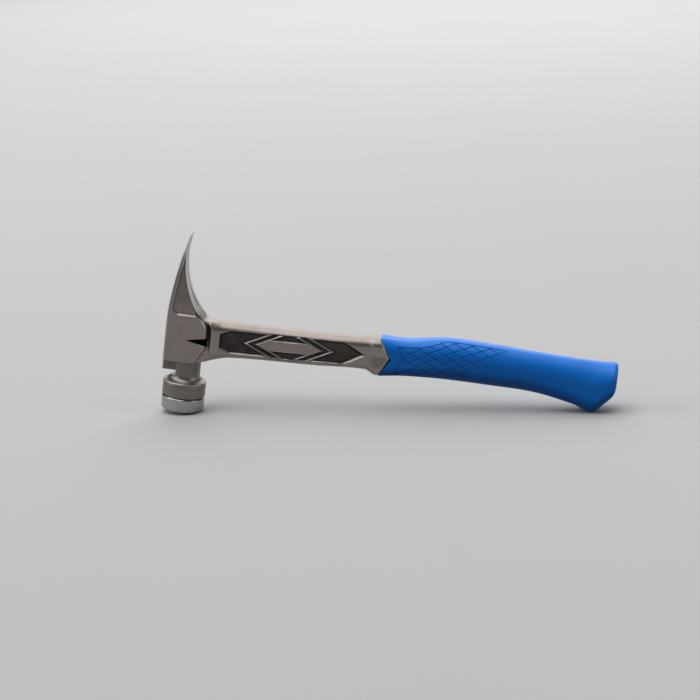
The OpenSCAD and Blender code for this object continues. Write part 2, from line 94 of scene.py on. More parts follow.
# Round the cheek's end: radii where the painted shadow of the channel and the raised ring come and go, and
# their fades
CHANNEL, CHANNEL_Z, CHANNEL_SHADOW = (15.8, 16.8, 19.0, 20.2), (56, 72), 1.5
RING, RING_Z, RING_RISE = (19.2, 21.0, 21.6, 30.0), (52, 64), 0.85
END_FADE_X = (3, 9)
# The raised rim along the hollow: its width, its start, its growth and rise; the chamfer of its edge
HOLLOW_RIM, HOLLOW_RIM_LOW = (0.9, 2.4), (85.5, 90)
HOLLOW_RIM_HIGH, HOLLOW_RIM_RISE = (88, 112), (0.35, 0.5)
HOLLOW_CHAMFER, CHAMFER_ROUND, CHAMFER_DROP, CHAMFER_X = 1.3, 0.8, 6, 8
# The neck, the nail starter's lip, pocket and magnet, and the fillet where the neck meets the cheek
NECK_R, NECK_LOW, NECK_TOP, NECK_THIN = 13.0, 30.8, 60.0, 0.14
LIP_LOW, LIP_H, LIP_HALF, LIP_END, LIP_ROUND = 36.9, 11.0, 10.0, 6.0, 0.6
POCKET_X, POCKET_TOP, POCKET_ROUND = 8.0, LIP_LOW + 4, 0.5
JOIN_FILLET, JOIN_SHARP = 0.8, 0.01
MAGNET_R, MAGNET_X, MAGNET_Z, MAGNET_LEN, HOLE_ROOM = 2.5, -7.6, 33.85, 4.0, 0.02
# The bell with its rounded edges and the two fine grooves at its rim, and its threaded bore
BELL_R, BELL_LOW, BELL_TOP = 19.48, 13.4, 27.2
BELL_ROUND_LOW, BELL_ROUND_TOP = 0.7, 1.5
RIM_GROOVE_D, RIM_GROOVE_SIDE, RIM_GROOVE_TOP, RIM_REACH = 0.3, (2.1, 0.35), (1.9, 0.45), 2
BORE_R, BORE_TOP, BORE_THREAD = 8.05, 26.9, 0.7
# The side notch and the claw's slot
NOTCH, NOTCH_FLOOR, NOTCH_ROUND = [(-2.0, 66.5), (18.0, 62.7), (18.0, 70.3)], 5.7, 0.35
SLOT_ROOT, SLOT_CROWN, SLOT_REACH, SLOT_ROUND = (5.1, 97.0), (-22.5, 115.0), 4, 0.5
SLOT_Z, SLOT_HALF = (97.0, 164.0), (0.9, 3.8)
# The shank's top line, its fillet at the head, the growth of its edge rounding, its heights and the tang
COLLAR_X = 171.0
SHANK_TOP, SHANK_RISE, ROOT_FILLET, SHANK_ROUND_X = 85.2, 4.2, 1.6, (11, 24)
SHANK_X = (0.5, 16.5, 38.0, 116.0, 160.0, COLLAR_X, 194.2)
SHANK_H = (37.6, 37.6, 32.0, 29.4, 29.4, 34.4, 34.4)
TANG_INSET, TANG_END = 3.0, 187.0
# The side panel about its middle line, the bars and the plate in it, and how far in and how dark the shade
# painted on its floor is
PANEL_EDGE = (
    (28, 6.8), (38, 11.4), (73.6, 11.4), (76, 12.6), (106, 12.6), (108.4, 11.4), (140, 11.4), (160, 0),
)
PANEL_X0, PANEL_X1 = PANEL_EDGE[0][0], PANEL_EDGE[-1][0]
PANEL_MIDS, PANEL_C = (69.2, 73.3), 91.0
BAR_REACH, BAR_PITCH, BAR_W, BAR_RUN, BAR_RISE, BAR_SLOPE = 31.0, 10.4, 5.2, 2.1, 10.6, 1.1
PLATE_HALF = 5.5
PANEL_SHADE, BAR_SHADE, PANEL_DARK = 0.8, 0.6, 0.92
# The arrow-shaped end, its flare at the collar, and the depth and place of its legs' bevels
VEE_RUN, VEE_RISE, VEE_ROUND = 11.6, 19.2, 0.3
VEE_TIP = (COLLAR_X + VEE_RUN, 72.2)
FLARE_X, FLARE_Z, FLARE_SLOPE, FLARE_MOST = (161, 168), 73.2, 0.15, 1.4
LEG_BEVELS = ((1.0, -1.4, -0.2), (1.9, -2.6, -0.3))

# Where the casting's finish changes and where shade and highlights are painted on it, in millimetres, and how
# much

NOTCH_MARK, NOTCH_MARK_Y = (-0.1, 0.6), (CHEEK_HALF - 1.6, CHEEK_HALF - 0.3)
POCKET_MARK, POCKET_SHADE = 0.4, 0.7
SLIT_X, SLIT_Y, SLIT_Z, SLIT_END = 8, (1.5, 1.9), (104, 118), (0.3, 0.9)
NECK_SHADE_Z, NECK_SHADE = (BELL_TOP + 1.5, BELL_TOP + 7), 0.5
HOLLOW_HIGHLIGHT, HOLLOW_HIGHLIGHT_Z = (0.6, 2.0), (86, 98)
CROWN_EDGE, CROWN_HIGHLIGHT = (-2.6, -1.2), 1.4
TIP_Z = (152.5, 154.5)
TURNED_Z, TURNED_IN = (24.4, 25.6), 1.5
SIDE_Y, SIDE_LEAN = 8.5, (0.2, 0.5)
EDGE_BEND, EDGE_LEAST, CAVITY_BEND, CAVITY_MOST = 1.6, 0.15, 1.5, 0.45

# The casting's mesh: room round it, where its cells change, and the steps of its slopes

MESH_ROOM, MESH_ROOM_LOW, MESH_SPLIT, MESH_END = 1.2, 1.0, 30, 189
PULL_STEP, PULL_MOST, NORMAL_STEP, BEND_STEP = 0.05, 0.3, 0.12, 0.9

# Sizes of the turned pieces, in millimetres

FACE_R, FACE_H, FACE_CHAMFER, FACE_BEVEL, FACE_CORNER = 19.3, 12.6, 1.2, 0.9, 0.25
FACE_RINGS = (6, 12)
STUD_R, STUD_TOP, STUD_CHAMFER, STUD_FOOT = 8.0, 25.4, 1.2, 0.6
THREAD_FOOT, THREAD_ROWS, THREAD_RUN_OUT = 0.8, 90, 0.8
WASHER_R, WASHER_HOLE, WASHER_TOP, WASHER_BULGE = 18.6, 8.3, 13.4, 0.1
MAGNET_CHAMFER, MAGNET_RING = 0.25, 1.2
SMALL_CORNER, SEAT_ROOM = 0.12, 0.02

# Sizes of the grip, in millimetres

GRIP_LEN, HEEL_RUN, GRIP_LIP = 212.5, 16.0, 0.8
BUTT_X = COLLAR_X + GRIP_LEN
HEEL_X = BUTT_X - HEEL_RUN
COLLAR_W, HUMP_W = 23.6, 30.0


def grip_x(share):
    return COLLAR_X + GRIP_LEN * share


GRIP_STATIONS = np.array([  # x, top, bottom, width
    (COLLAR_X - VEE_RUN, 90.4, 55.0, COLLAR_W),
    (COLLAR_X, 90.4, 55.0, COLLAR_W),
    (grip_x(0.11), 90.4, 57.8, COLLAR_W + (HUMP_W - COLLAR_W) / 3),
    (grip_x(0.27), 95.8, 59.2, HUMP_W),
    (grip_x(0.45), 95.8, 59.2, HUMP_W),
    (grip_x(0.66), 94.0, 58.2, 28.0),
    (grip_x(0.83), 93.1, 52.7, 30.5),
    (HEEL_X, 93.1, 48.1, 33.0),
    (BUTT_X, 94.0, 66.1, 33.0),
])
# How round the section is over and under its middle, from 0, square, to 1, oval
ROUND_X = (COLLAR_X, grip_x(0.27), grip_x(0.66), HEEL_X)
ROUND_OVER, ROUND_UNDER = (0.5, 0.86, 0.9, 1.0), (0.5, 0.86, 0.86, 0.62)
# Crosshatch on the unrolled grip: place along the handle and distance round it from the side's middle
HATCH_BORDER = [
    (187.0, 11.8), (198.0, 11.6), (206.0, 11.5), (211.0, 12.1), (217.0, 13.8), (222.0, 15.8),
    (226.0, 17.9), (230.0, 20.2), (245.0, 19.9), (264.0, 19.5), (281.0, 18.9),
]
HATCH_LEFT = [(187.0, 11.8), (193.2, 1.0), (187.6, -8.8), (184.0, -17.0)]
HATCH_EDGE = [(291.0, 18.5), (284.0, 11.5), (262.0, -7.2), (246.0, -21.0), (186.0, -21.0)]
HATCH_OUTLINE = [*HATCH_BORDER, *HATCH_EDGE, *HATCH_LEFT[:0:-1]]
HATCH_CENTRE = (237.65, 2.14)
HATCH_FADE, HATCH_OVER, HATCH_ROWS, BORDER_STEP = 9.0, 1.0, 12, 1.2
HATCH_RUN = np.arange(183.0, 292.0, 0.8)
# Rows of the table that the surface is read from, and how many of them soften its bottom line
GRIP_FIRST, ROW_STEP, SOFT_ROWS = 168.0, 0.5, 8
# The mesh's points: shares of the way round at the ends and inside, and the unrolled side's spread
GRIP_SHARES, GRID_SHARES, SPREAD = np.linspace(1, -1, 65), np.linspace(1, -1, 43)[1:-1], 25.0
EDGE_POINTS, GRID_ROOM = 100, 0.6
BUTT_STEPS, LIP_STEPS, CAP_SHARES = 7, 4, (0.75, 0.4, 0.0)

# Stage, in metres

FLOOR_MID, FLOOR_R, FLOOR_SIDES = 1.5, 4.5, 64
COVE_R, COVE_ANGLES = 2.5, np.linspace(0.1, 1.5, 14)
KEY_PLACE, KEY_WIDTH = (-0.5, -0.22, 2.0), math.radians(60)
LIGHT_TARGET = (0, 0, 0.05)
LIGHT_PANELS = {  # width and height, place
    "left": ((2.4, 1.6), (-2.6, -0.4, 1.2)),
    "back": ((3.0, 3.8), (0.0, 2.4, 2.0)),
    "right": ((1.2, 1.4), (1.6, -0.35, 0.8)),
}
# The camera's sensor in millimetres, and the range that it sees
SENSOR_W, CLIP_RANGE = 36, (0.05, 60)


# Properties


def length(name, text, mm, low, high):
    """A length property, given in millimetres and kept in metres."""
    return FloatProperty(
        name=name, description=text, default=mm * MM, min=low * MM, max=high * MM,
        precision=5, subtype="DISTANCE", unit="LENGTH",
    )


def colour(name, text, value):
    return FloatVectorProperty(
        name=name, description=text, default=value, min=0, max=1, size=3, subtype="COLOR"
    )


def strength(name, text, value):
    return FloatProperty(name=name, description=text, default=value, min=0, max=20)


def angle(name, text, degrees):
    return FloatProperty(
        name=name, description=text, default=math.radians(degrees), subtype="ANGLE", unit="ROTATION"
    )


class CastingSettings(bpy.types.PropertyGroup):
    """Sizes and colours of the titanium casting"""

    cell: length("Cell", "Size of the mesh's cells on the head", 0.62, 0.35, 2)
    shank_cell: length("Shank cell", "Length of the mesh's cells along the shank", 0.74, 0.35, 3)
    edge_round: length("Edge rounding", "Rounding of the head's edges", 1.1, 0.4, 2)
    shank_round: length("Shank rounding", "Rounding of the shank's long edges", 8.0, 3, 10)
    bevel: length("Cheek bevel", "Width of the bevel round the cheek's plate", 1.8, 1, 3)
    rim: length("Crown rim", "Flat width of the claw's rim along the crown", 2.8, 1.5, 5)
    rim_slope: length("Rim slope", "Width of the slope from that rim to the web", 2.2, 1, 4)
    neck_fillet: length("Neck fillet", "Fillet between the neck and the bell", 5.8, 2, 7)
    panel_depth: length("Panel depth", "Depth of the shank's side panels", 1.7, 0.8, 2.2)
    panel_wall: length("Panel wall", "Width of the panel's sloped walls", 1.9, 0.8, 3)
    plate_rise: length("Plate rise", "Rise of the plate and bars over the panel's floor", 1.1, 0.5, 1.5)
    titanium: colour("Titanium", "Colour of the blasted titanium", (0.29, 0.252, 0.236))
    # Painted shade: the dark colour painted into creases, recesses, the neck, the bell and, darkest, the
    # notch, pocket, slot and channel; the random mottle also goes towards it
    recess: colour("Recesses", "Colour that the titanium has in its recesses", (0.03, 0.0265, 0.025))
    # The pale colour of the ground tip and of worn edges, also used for highlights painted on the edges, the
    # hollow and the crown's edge
    ground: colour("Ground edge", "Colour of the ground claw tip and rubbed edges", (0.62, 0.60, 0.585))


class FaceSettings(bpy.types.PropertyGroup):
    """Sizes and colours of the screwed steel face, its washer and the magnet"""

    sides: IntProperty(
        name="Sides", description="Facets round the face, the washer and the magnet",
        default=128, min=48, max=256,
    )
    pitch: length("Thread pitch", "Pitch of the stud's thread", 2.0, 1, 3)
    thread: length("Thread depth", "Depth of the stud's thread", 0.9, 0.3, 1.2)
    steel: colour("Steel", "Colour of the polished steel", (0.40, 0.395, 0.39))
    washer: colour("Washer", "Colour of the washer's rubber", (0.018, 0.018, 0.019))
    nickel: colour("Nickel", "Colour of the magnet's plating", (0.66, 0.65, 0.62))


class GripSettings(bpy.types.PropertyGroup):
    """Sizes and colours of the moulded grip"""

    groove_w: length("Groove width", "Width of the engraved grooves", 1.0, 0.5, 2)
    groove_d: length("Groove depth", "Depth of the engraved grooves", 0.5, 0.1, 1)
    diamond_l: length("Diamond length", "Length of a diamond along the handle", 15.6, 8, 24)
    diamond_h: length("Diamond height", "Height of a diamond round the handle", 8.06, 4, 14)
    step_x: length("Step along", "Distance between the mesh's points along the handle", 2.2, 1, 5)
    butt_round: length("Butt rounding", "Rounding of the butt's edge", 4.0, 2, 4.4)
    rubber: colour("Rubber", "Colour of the grip's elastomer", (0.003, 0.2, 0.78))
    # The colour of the shade painted in the grooves
    groove: colour("Grooves", "Colour in the grooves, which hold dirt", (0.003, 0.03, 0.14))


class StageSettings(bpy.types.PropertyGroup):
    """The floor, the lights and the camera"""

    floor: colour("Floor", "Colour of the floor and the backdrop", (0.52, 0.52, 0.52))
    bounce: colour("Floor bounce", "Colour of the floor in the light that it sends back", (0.06, 0.06, 0.06))
    key: strength("Key light", "Strength of the wide light over the hammer", 1.9)
    left: strength("Left panel", "Brightness of the panel at the claw's side", 2.5)
    back: strength("Back panel", "Brightness of the panel behind the hammer", 1.8)
    right: strength("Right panel", "Brightness of the panel at the butt's side", 1.2)
    ambient: strength("Ambient", "Strength of the world's soft light", 0.02)
    lens: FloatProperty(
        name="Focal length", description="Focal length on a 36 mm sensor", default=127.85,
        min=20, max=300, unit="CAMERA",
    )
    distance: length("Camera distance", "From the camera to the point that it looks at", 2222, 500, 6000)
    azimuth: angle("Azimuth", "The camera's turn towards the butt", 4.5)
    elevation: angle("Elevation", "The camera's height over the hammer", 15)
    slope: angle("Handle slope", "Slope of the handle in the picture", 6.5)
    look_at: FloatVectorProperty(
        name="Looks at", description="The point in the middle of the picture, in the hammer's own frame",
        default=(144.88 * MM, 0, 73.775 * MM), size=3, subtype="TRANSLATION", unit="LENGTH",
    )


# Shader maths


class Wire:
    """An output socket of a material, which Python's operators work on."""

    def __init__(self, shader, socket):
        self.shader, self.socket = shader, socket

    def math(self, operation, *values):
        return self.shader.add("ShaderNodeMath", {"operation": operation}, dict(enumerate(values)))

    def __add__(self, other):
        return self.math("ADD", self, other)

    def __sub__(self, other):
        return self.math("SUBTRACT", self, other)

    def __rsub__(self, other):
        return self.math("SUBTRACT", other, self)

    def __mul__(self, other):
        return self.math("MULTIPLY", self, other)

    def clamped(self):
        return self.shader.add("ShaderNodeClamp", {}, {"Value": self})

    __radd__ = __add__
    __rmul__ = __mul__


class Finish:
    """A material whose nodes are added by one method."""

    def __init__(self, name):
        self.material = bpy.data.materials.new(name)
        self.material.use_nodes = True
        self.tree = self.material.node_tree
        self.tree.nodes.clear()

    def add(self, kind, settings, sockets, out=0):
        """Adds a node with its settings, then fills its sockets, and returns one of its outputs."""
        node = self.tree.nodes.new(kind)
        for key, value in settings.items():
            setattr(node, key, value)
        for key, value in sockets.items():
            target = node.inputs[key]
            if isinstance(value, Wire):
                self.tree.links.new(value.socket, target)
            elif target.type == "RGBA":
                target.default_value = (*value, 1)
            else:
                target.default_value = value
        return Wire(self, node.outputs[out]) if node.outputs else None

    def attribute(self, name):
        return self.add("ShaderNodeAttribute", {"attribute_name": name}, {}, "Fac")

    def place(self):
        return self.add("ShaderNodeTexCoord", {}, {}, "Object")

    def noise(self, place, scale, detail=2.0, rough=0.5):
        return self.add(
            "ShaderNodeTexNoise", {},
            {"Vector": place, "Scale": scale, "Detail": detail, "Roughness": rough},
        )

    def mix(self, share, a, b):
        """A colour between a and b. Sockets 0, 6 and 7 are the factor and the two colours."""
        return self.add("ShaderNodeMix", {"data_type": "RGBA"}, {0: share, 6: a, 7: b}, 2)

    def streaks(self, height, scale):
        """Noise that changes with the height alone, as turned lines do."""
        line = self.add("ShaderNodeCombineXYZ", {}, {"Z": height})
        return self.noise(line, scale, 3.0, 0.6)

    def bump(self, height, strength, distance):
        return self.add(
            "ShaderNodeBump", {}, {"Height": height, "Strength": strength, "Distance": distance}
        )

    def surface(self, **sockets):
        """The shader itself, with its constants on its own sockets."""
        names = {k.replace("_", " ").title().replace("Ior", "IOR"): v for k, v in sockets.items()}
        shader = self.add("ShaderNodeBsdfPrincipled", {}, names)
        self.add("ShaderNodeOutputMaterial", {}, {"Surface": shader})
        return self.material


def toned(tone, share):
    """A colour made darker or paler by a share."""
    return [c * share for c in tone]


def titanium_finish(s):
    """Blasted titanium, mottled at random: painted shade in the creases, the recesses and on the neck,
    painted black shade in the notch, pocket, slot and channel, worn edges with highlights painted on them and
    on the hollow, and the bell turned, with a painted darker reflection over it.
    """
    f = Finish("blasted_titanium")
    place = f.place()
    cavity, edge = f.attribute("cavity"), f.attribute("edge")
    recess, deep = f.attribute("recess"), f.attribute("deep")
    ground, turned, height = f.attribute("ground"), f.attribute("turned"), f.attribute("head_z")
    cloud = f.noise(place, 90.0, 3.0)
    speck = f.noise(place, 1500.0, 2.0, 0.6)
    grain = f.noise(place, 3200.0, 1.0)
    lines = f.streaks(height, 2.4)
    # Painted shade in the creases, on the neck and in the recesses, with a random mottle
    shade_and_mottle = (cavity * 0.9 + recess + (cloud - 0.5) * 0.4 + (speck - 0.5) * 0.3).clamped()
    # Wear on the edges with highlights painted on them, the ground tip, and highlights painted on the hollow
    # and the crown's edge
    wear_and_highlight = (edge * (0.45 + cloud * 0.5) * 0.75 + ground * 0.85).clamped()
    # The bell's turned lines, and a painted darker reflection over the whole bell
    shade = (turned * ((lines - 0.5) * 1.1 + 0.3)).clamped()
    # Painted black shade for the deepest places
    black = toned(s.recess, 0.15)
    tone = f.mix(shade_and_mottle, s.titanium[:], s.recess[:])
    tone = f.mix(wear_and_highlight, tone, s.ground[:])
    tone = f.mix(shade, tone, s.recess[:])
    # Painted black shade in the notch, the nail starter's pocket and the claw's slot
    tone = f.mix(deep, tone, black)
    # Painted black shadow where the channel's shade goes over 1
    tone = f.mix((recess - 1.0).clamped(), tone, black)
    rough = 0.4 + (speck - 0.5) * 0.16 + (cloud - 0.5) * 0.1 - wear_and_highlight * 0.1 - turned * 0.06
    relief = grain * 0.5 + speck * 0.5 + turned * lines * 2.6
    return f.surface(
        base_color=tone, metallic=1.0, roughness=rough.clamped(),
        normal=f.bump(relief, 0.35, 0.00012),
    )


def steel_finish(s):
    """Polished steel with the faint turned lines of a lathe."""
    f = Finish("polished_steel")
    lines = f.streaks(f.attribute("head_z"), 5.0)
    smear = f.noise(f.place(), 160.0, 3.0)
    rough = 0.13 + (smear - 0.4).clamped() * 0.25 + (lines - 0.5) * 0.06
    dull = (smear * 0.6 + (lines - 0.5) * 0.5).clamped()
    return f.surface(
        base_color=f.mix(dull, s.steel[:], toned(s.steel, 0.82)), metallic=1.0,
        roughness=rough.clamped(), normal=f.bump(lines, 0.12, 0.00005),
    )


def rubber_finish(s):
    """Matt black rubber of the washer."""
    f = Finish("washer_rubber")
    grain = f.noise(f.place(), 2600.0, 3.0)
    return f.surface(
        base_color=f.mix(grain, s.washer[:], toned(s.washer, 2.2)), roughness=0.55 + grain * 0.3,
        normal=f.bump(grain, 0.4, 0.0001),
    )


def nickel_finish(s):
    """Nickel plating of the magnet, a little scuffed."""
    f = Finish("magnet_nickel")
    scuff = f.noise(f.place(), 700.0, 5.0, 0.65)
    return f.surface(
        base_color=f.mix((scuff * 1.6 - 0.5).clamped(), s.nickel[:], toned(s.nickel, 0.7)), metallic=1.0,
        roughness=0.18 + scuff * 0.22, normal=f.bump(scuff, 0.1, 0.0001),
    )


def grip_finish(s):
    """Satin elastomer with a fine moulded grain, mottled at random, with shade painted in its grooves."""
    f = Finish("grip_elastomer")
    place = f.place()
    groove = f.attribute("groove")
    cloud = f.noise(place, 45.0, 3.0)
    grain = f.noise(place, 2400.0, 2.0, 0.55)
    pale = [min(1.0, c * 1.22 + 0.006) for c in s.rubber]
    tone = f.mix(((cloud - 0.5) * 0.9 + (grain - 0.5) * 0.5 + 0.25).clamped(), s.rubber[:], pale)
    # Shade painted in the grooves
    tone = f.mix((groove * 0.75).clamped(), tone, s.groove[:])
    rough = 0.42 + (grain - 0.5) * 0.18 + (cloud - 0.5) * 0.1 + groove * 0.15
    return f.surface(
        base_color=tone, roughness=rough.clamped(), specular_ior_level=0.32,
        normal=f.bump(grain, 0.22, 0.00012),
    )


def paper_finish(s):
    """Matt paper of the floor and the backdrop, pale to the eye and in what reflects it."""
    f = Finish("pale_paper")
    grain = f.noise(f.place(), 6.0, 4.0)
    kinds = ("Camera", "Glossy", "Transmission")
    seen = [f.add("ShaderNodeLightPath", {}, {}, f"Is {kind} Ray") for kind in kinds]
    pale = f.mix(grain, s.floor[:], toned(s.floor, 0.97))
    tone = f.mix(sum(seen[1:], seen[0]).clamped(), s.bounce[:], pale)
    return f.surface(base_color=tone, roughness=0.9, specular_ior_level=0.0)


# Fields: distances that are negative inside the metal


def ease(t):
    t = np.clip(t, 0, 1)
    return t * t * (3 - 2 * t)


def blend_range(t, a, b):
    """From 0 at a to 1 at b, softly."""
    return ease((t - a) / (b - a))


def fade_out(t, a, b):
    """From 1 at a to 0 at b, softly."""
    return 1 - blend_range(t, a, b)


def band(t, a, b, c, d):
    """Rises from a to b and falls from c to d, softly."""
    return blend_range(t, a, b) * fade_out(t, c, d)


def round_max(a, b, r):
    """What lies in both, with the edge between them rounded."""
    return np.minimum(np.maximum(a, b), -r) + np.hypot(np.maximum(a + r, 0), np.maximum(b + r, 0))


def round_min(a, b, r):
    """What lies in either, with a fillet between them."""
    return -round_max(-a, -b, r)


def path_field(x, z, path):
    """Distance to a path of straight stretches."""
    near = np.inf
    for (ax, az), (bx, bz) in zip(path, path[1:]):
        ex, ez = bx - ax, bz - az
        t = np.clip(((x - ax) * ex + (z - az) * ez) / (ex * ex + ez * ez), 0, 1)
        near = np.minimum(near, (x - ax - t * ex) ** 2 + (z - az - t * ez) ** 2)
    return np.sqrt(near)


def polygon_field(x, z, corners):
    """Distance to a polygon."""
    ring = [*corners, corners[0]]
    inside = np.zeros(np.shape(x), bool)
    for (ax, az), (bx, bz) in zip(ring, ring[1:]):
        if az != bz:
            inside ^= ((az > z) != (bz > z)) & (x < (bx - ax) * (z - az) / (bz - az) + ax)
    return np.where(inside, -1, 1) * path_field(x, z, ring)


def line_field(x, z, a, b):
    """Distance to the line from a to b, positive on its left."""
    ex, ez = b[0] - a[0], b[1] - a[1]
    return ((z - a[1]) * ex - (x - a[0]) * ez) / math.hypot(ex, ez)


def hermite(places, values, x):
    """Smooth curve through stations, with the slopes of their neighbours."""
    p, v = np.asarray(places, float), np.asarray(values, float)
    lo, hi = np.maximum(np.arange(len(p)) - 1, 0), np.minimum(np.arange(len(p)) + 1, len(p) - 1)
    slope = (v[hi] - v[lo]) / (p[hi] - p[lo])
    i = np.clip(np.searchsorted(p, x) - 1, 0, len(p) - 2)
    w = p[i + 1] - p[i]
    t = (x - p[i]) / w
    return (
        v[i] * (1 + 2 * t) * (1 - t) ** 2 + v[i + 1] * t * t * (3 - 2 * t)
        + slope[i] * w * t * (1 - t) ** 2 - slope[i + 1] * w * t * t * (1 - t)
    )


# Side view of the casting


def shank_top(x):
    return SHANK_TOP + SHANK_RISE * np.maximum(0, (x - PANEL_X0) / (COLLAR_X - PANEL_X0)) ** 3


SHANK_STEPS = np.arange(0, 190, 0.5)
SHANK_TOPS = hermite(SHANK_X, [shank_top(min(x, COLLAR_X)) for x in SHANK_X], SHANK_STEPS)
SHANK_LOWS = hermite(
    SHANK_X, [shank_top(min(x, COLLAR_X)) - h for x, h in zip(SHANK_X, SHANK_H)], SHANK_STEPS
)
SHANK_TILTS = np.gradient(SHANK_LOWS, SHANK_STEPS)


def on_panel(points):
    """Points given from the panel's middle line, in the hammer's frame."""
    low, high = PANEL_MIDS
    return [(x, low + (high - low) * (x - PANEL_X0) / (PANEL_X1 - PANEL_X0) + h) for x, h in points]


def panel_shapes():
    """Outlines of the panel, and of the pointed plate and bars that stand in it."""
    panel = on_panel([*PANEL_EDGE, *[(x, -h) for x, h in PANEL_EDGE[-2::-1]]])
    a, h = BAR_REACH, PLATE_HALF
    b = a - BAR_RUN * h
    plate = [(-a, 0), (-b, h), (b, h), (a, 0), (b, -h), (-b, -h)]
    raised = [on_panel([(PANEL_C + x, z) for x, z in plate])]
    for side in (-1, 1):
        for row in (0, 1):
            tip = PANEL_C + side * (BAR_REACH + row * BAR_PITCH)
            back, run = tip - side * BAR_W, side * BAR_RUN * BAR_RISE
            raised.append(on_panel([
                (tip, 0), (tip - run, BAR_RISE), (back - run, BAR_RISE),
                (back, 0), (back - run, -BAR_RISE), (tip - run, -BAR_RISE),
            ]))
    return panel, raised


PANEL, RAISED = panel_shapes()


def crown_field(x, z):
    """Distance to the crown, which is straight up to CROWN_Z and an arc over it."""
    return np.where(z > CROWN_Z, np.hypot(x + CROWN_X - CROWN_R, z - CROWN_Z) - CROWN_R, -CROWN_X - x)


def hollow_field(x, z):
    """Distance to the claw's hollow side."""
    return HOLLOW_R - np.hypot(x - HOLLOW_X, z - HOLLOW_Z)


def outline_field(x, z):
    """Distance to the outline of the claw, the cheek and the shank."""
    claw = np.maximum.reduce([
        crown_field(x, z), hollow_field(x, z), CROWN_Z - z, z - HEAD_TOP, x - HOLLOW_X,
    ])
    block = [(-CROWN_X, CHEEK_LOW), *FOOT, (NOSE_X, BLOCK_TOP), (-CROWN_X, BLOCK_TOP)]
    top, low, tilt = (np.interp(x, SHANK_STEPS, v) for v in (SHANK_TOPS, SHANK_LOWS, SHANK_TILTS))
    shank = np.maximum.reduce([z - top, (low - z) / np.hypot(1, tilt), BOSS_X - x])
    return round_min(np.minimum(claw, polygon_field(x, z, block)), shank, ROOT_FILLET)


def vee_field(x, z):
    """Distance to the casting's arrow-shaped end: along its upper leg and along its lower leg."""
    n = math.hypot(VEE_RUN, VEE_RISE)
    reach, rise = (x - VEE_TIP[0]) * VEE_RISE / n, (z - VEE_TIP[1]) * VEE_RUN / n
    return reach + rise, reach - rise


def boss_reach(x, z):
    """Distance from the middle of the cheek's end, which is round over that middle and straight under it."""
    return np.where(z > BOSS_Z, np.hypot(x - BOSS_X, z - BOSS_Z), x - BOSS_X)


def raised_share(x, z, s):
    """From 0 on the web to 1 on the crown's rim, the cheek's plate, the hollow's rim and the ring."""
    rim = s.rim / MM
    crown_rim = fade_out(-crown_field(x, z), rim, rim + s.rim_slope / MM)
    plate = np.maximum.reduce([
        np.minimum(z - CHEEK_TOP, -line_field(x, z, *PLATE_CORNER)),
        np.where(x > BOSS_X, boss_reach(x, z) - BOSS_R, x - NOSE_X),
        -line_field(x, z, *FOOT),
    ])
    hollow_rim = fade_out(-hollow_field(x, z), *HOLLOW_RIM) * blend_range(z, *HOLLOW_RIM_LOW)
    hollow_rim *= HOLLOW_RIM_RISE[0] + HOLLOW_RIM_RISE[1] * blend_range(z, *HOLLOW_RIM_HIGH)
    ring = band(boss_reach(x, z), *RING) * blend_range(x, *END_FADE_X) * blend_range(z, *RING_Z)
    return np.maximum.reduce([
        crown_rim, np.clip(-plate / (s.bevel / MM), 0, 1), hollow_rim, RING_RISE * ring,
    ])


def half_field(x, z, s):
    """Half the casting's thickness, without the panel."""
    full = np.mean([np.interp(z + d, TAPER_Z, TAPER_HALF) for d in TAPER_SPREAD], axis=0)
    half = full - WEB_DEPTH * (1 - raised_share(x, z, s))
    flare = FLARE_SLOPE * np.abs(z - FLARE_Z) * blend_range(x, *FLARE_X)
    half = half + np.minimum(flare, FLARE_MOST)
    for leg, (deep, start, end) in zip(vee_field(x, z), LEG_BEVELS):
        half = half - deep * blend_range(leg, start, end)
    return half


def panel_fields(x, z):
    """Distance to the panel, and to the plate and bars in it."""
    return polygon_field(x, z, PANEL), np.minimum.reduce([polygon_field(x, z, bar) for bar in RAISED])


def panel_relief(x, z, s):
    """Depth of the panel under the shank's side."""
    panel, bars = panel_fields(x, z)
    relief = s.panel_depth / MM * np.clip(-panel / (s.panel_wall / MM), 0, 1)
    return np.maximum(relief - s.plate_rise / MM * blend_range(-bars, 0, BAR_SLOPE), 0)


def recess_share(x, z, s):
    """Painted shade on the panel's floor, left off the bars and the plate, and a painted shadow in the
    channel round the cheek's end, which goes over 1.
    """
    panel, bars = panel_fields(x, z)
    # Painted shade on the panel's floor, left off the bars and the plate
    floor = np.clip(-panel / PANEL_SHADE, 0, 1) * (1 - np.clip(-bars / BAR_SHADE, 0, 1))
    # A painted shadow in the channel round the cheek's end
    channel = band(boss_reach(x, z), *CHANNEL) * blend_range(x, *END_FADE_X) * blend_range(z, *CHANNEL_Z)
    return np.maximum(PANEL_DARK * floor, CHANNEL_SHADOW * channel * (1 - raised_share(x, z, s)))


# The casting in space


def solid_field(x, z, across, s):
    """The claw, the cheek, the shank and the tang, with the panel and the arrow-shaped end."""
    outline, side = outline_field(x, z), across - half_field(x, z, s)
    edge = s.edge_round / MM
    r = edge + (s.shank_round / MM - edge) * blend_range(x, *SHANK_ROUND_X)
    tang = np.maximum(np.maximum(outline, side) + TANG_INSET, x - TANG_END)
    body = np.maximum(round_max(outline, side, r), side + panel_relief(x, z, s))
    body = round_max(body, np.maximum(*vee_field(x, z)), VEE_ROUND)
    drop = CHAMFER_DROP * blend_range(x, CHAMFER_X, NOSE_X)
    chamfer = (hollow_field(x, z) + side) * math.sqrt(0.5) + HOLLOW_CHAMFER - drop
    body = np.where(x < NOSE_X, round_max(body, chamfer, CHAMFER_ROUND), body)
    return np.minimum(body, tang)


def rim_groove(t, place, width):
    """Depth of a fine groove at a distance from the bell's rim."""
    return RIM_GROOVE_D * np.exp(-((t - place) / width) ** 2)


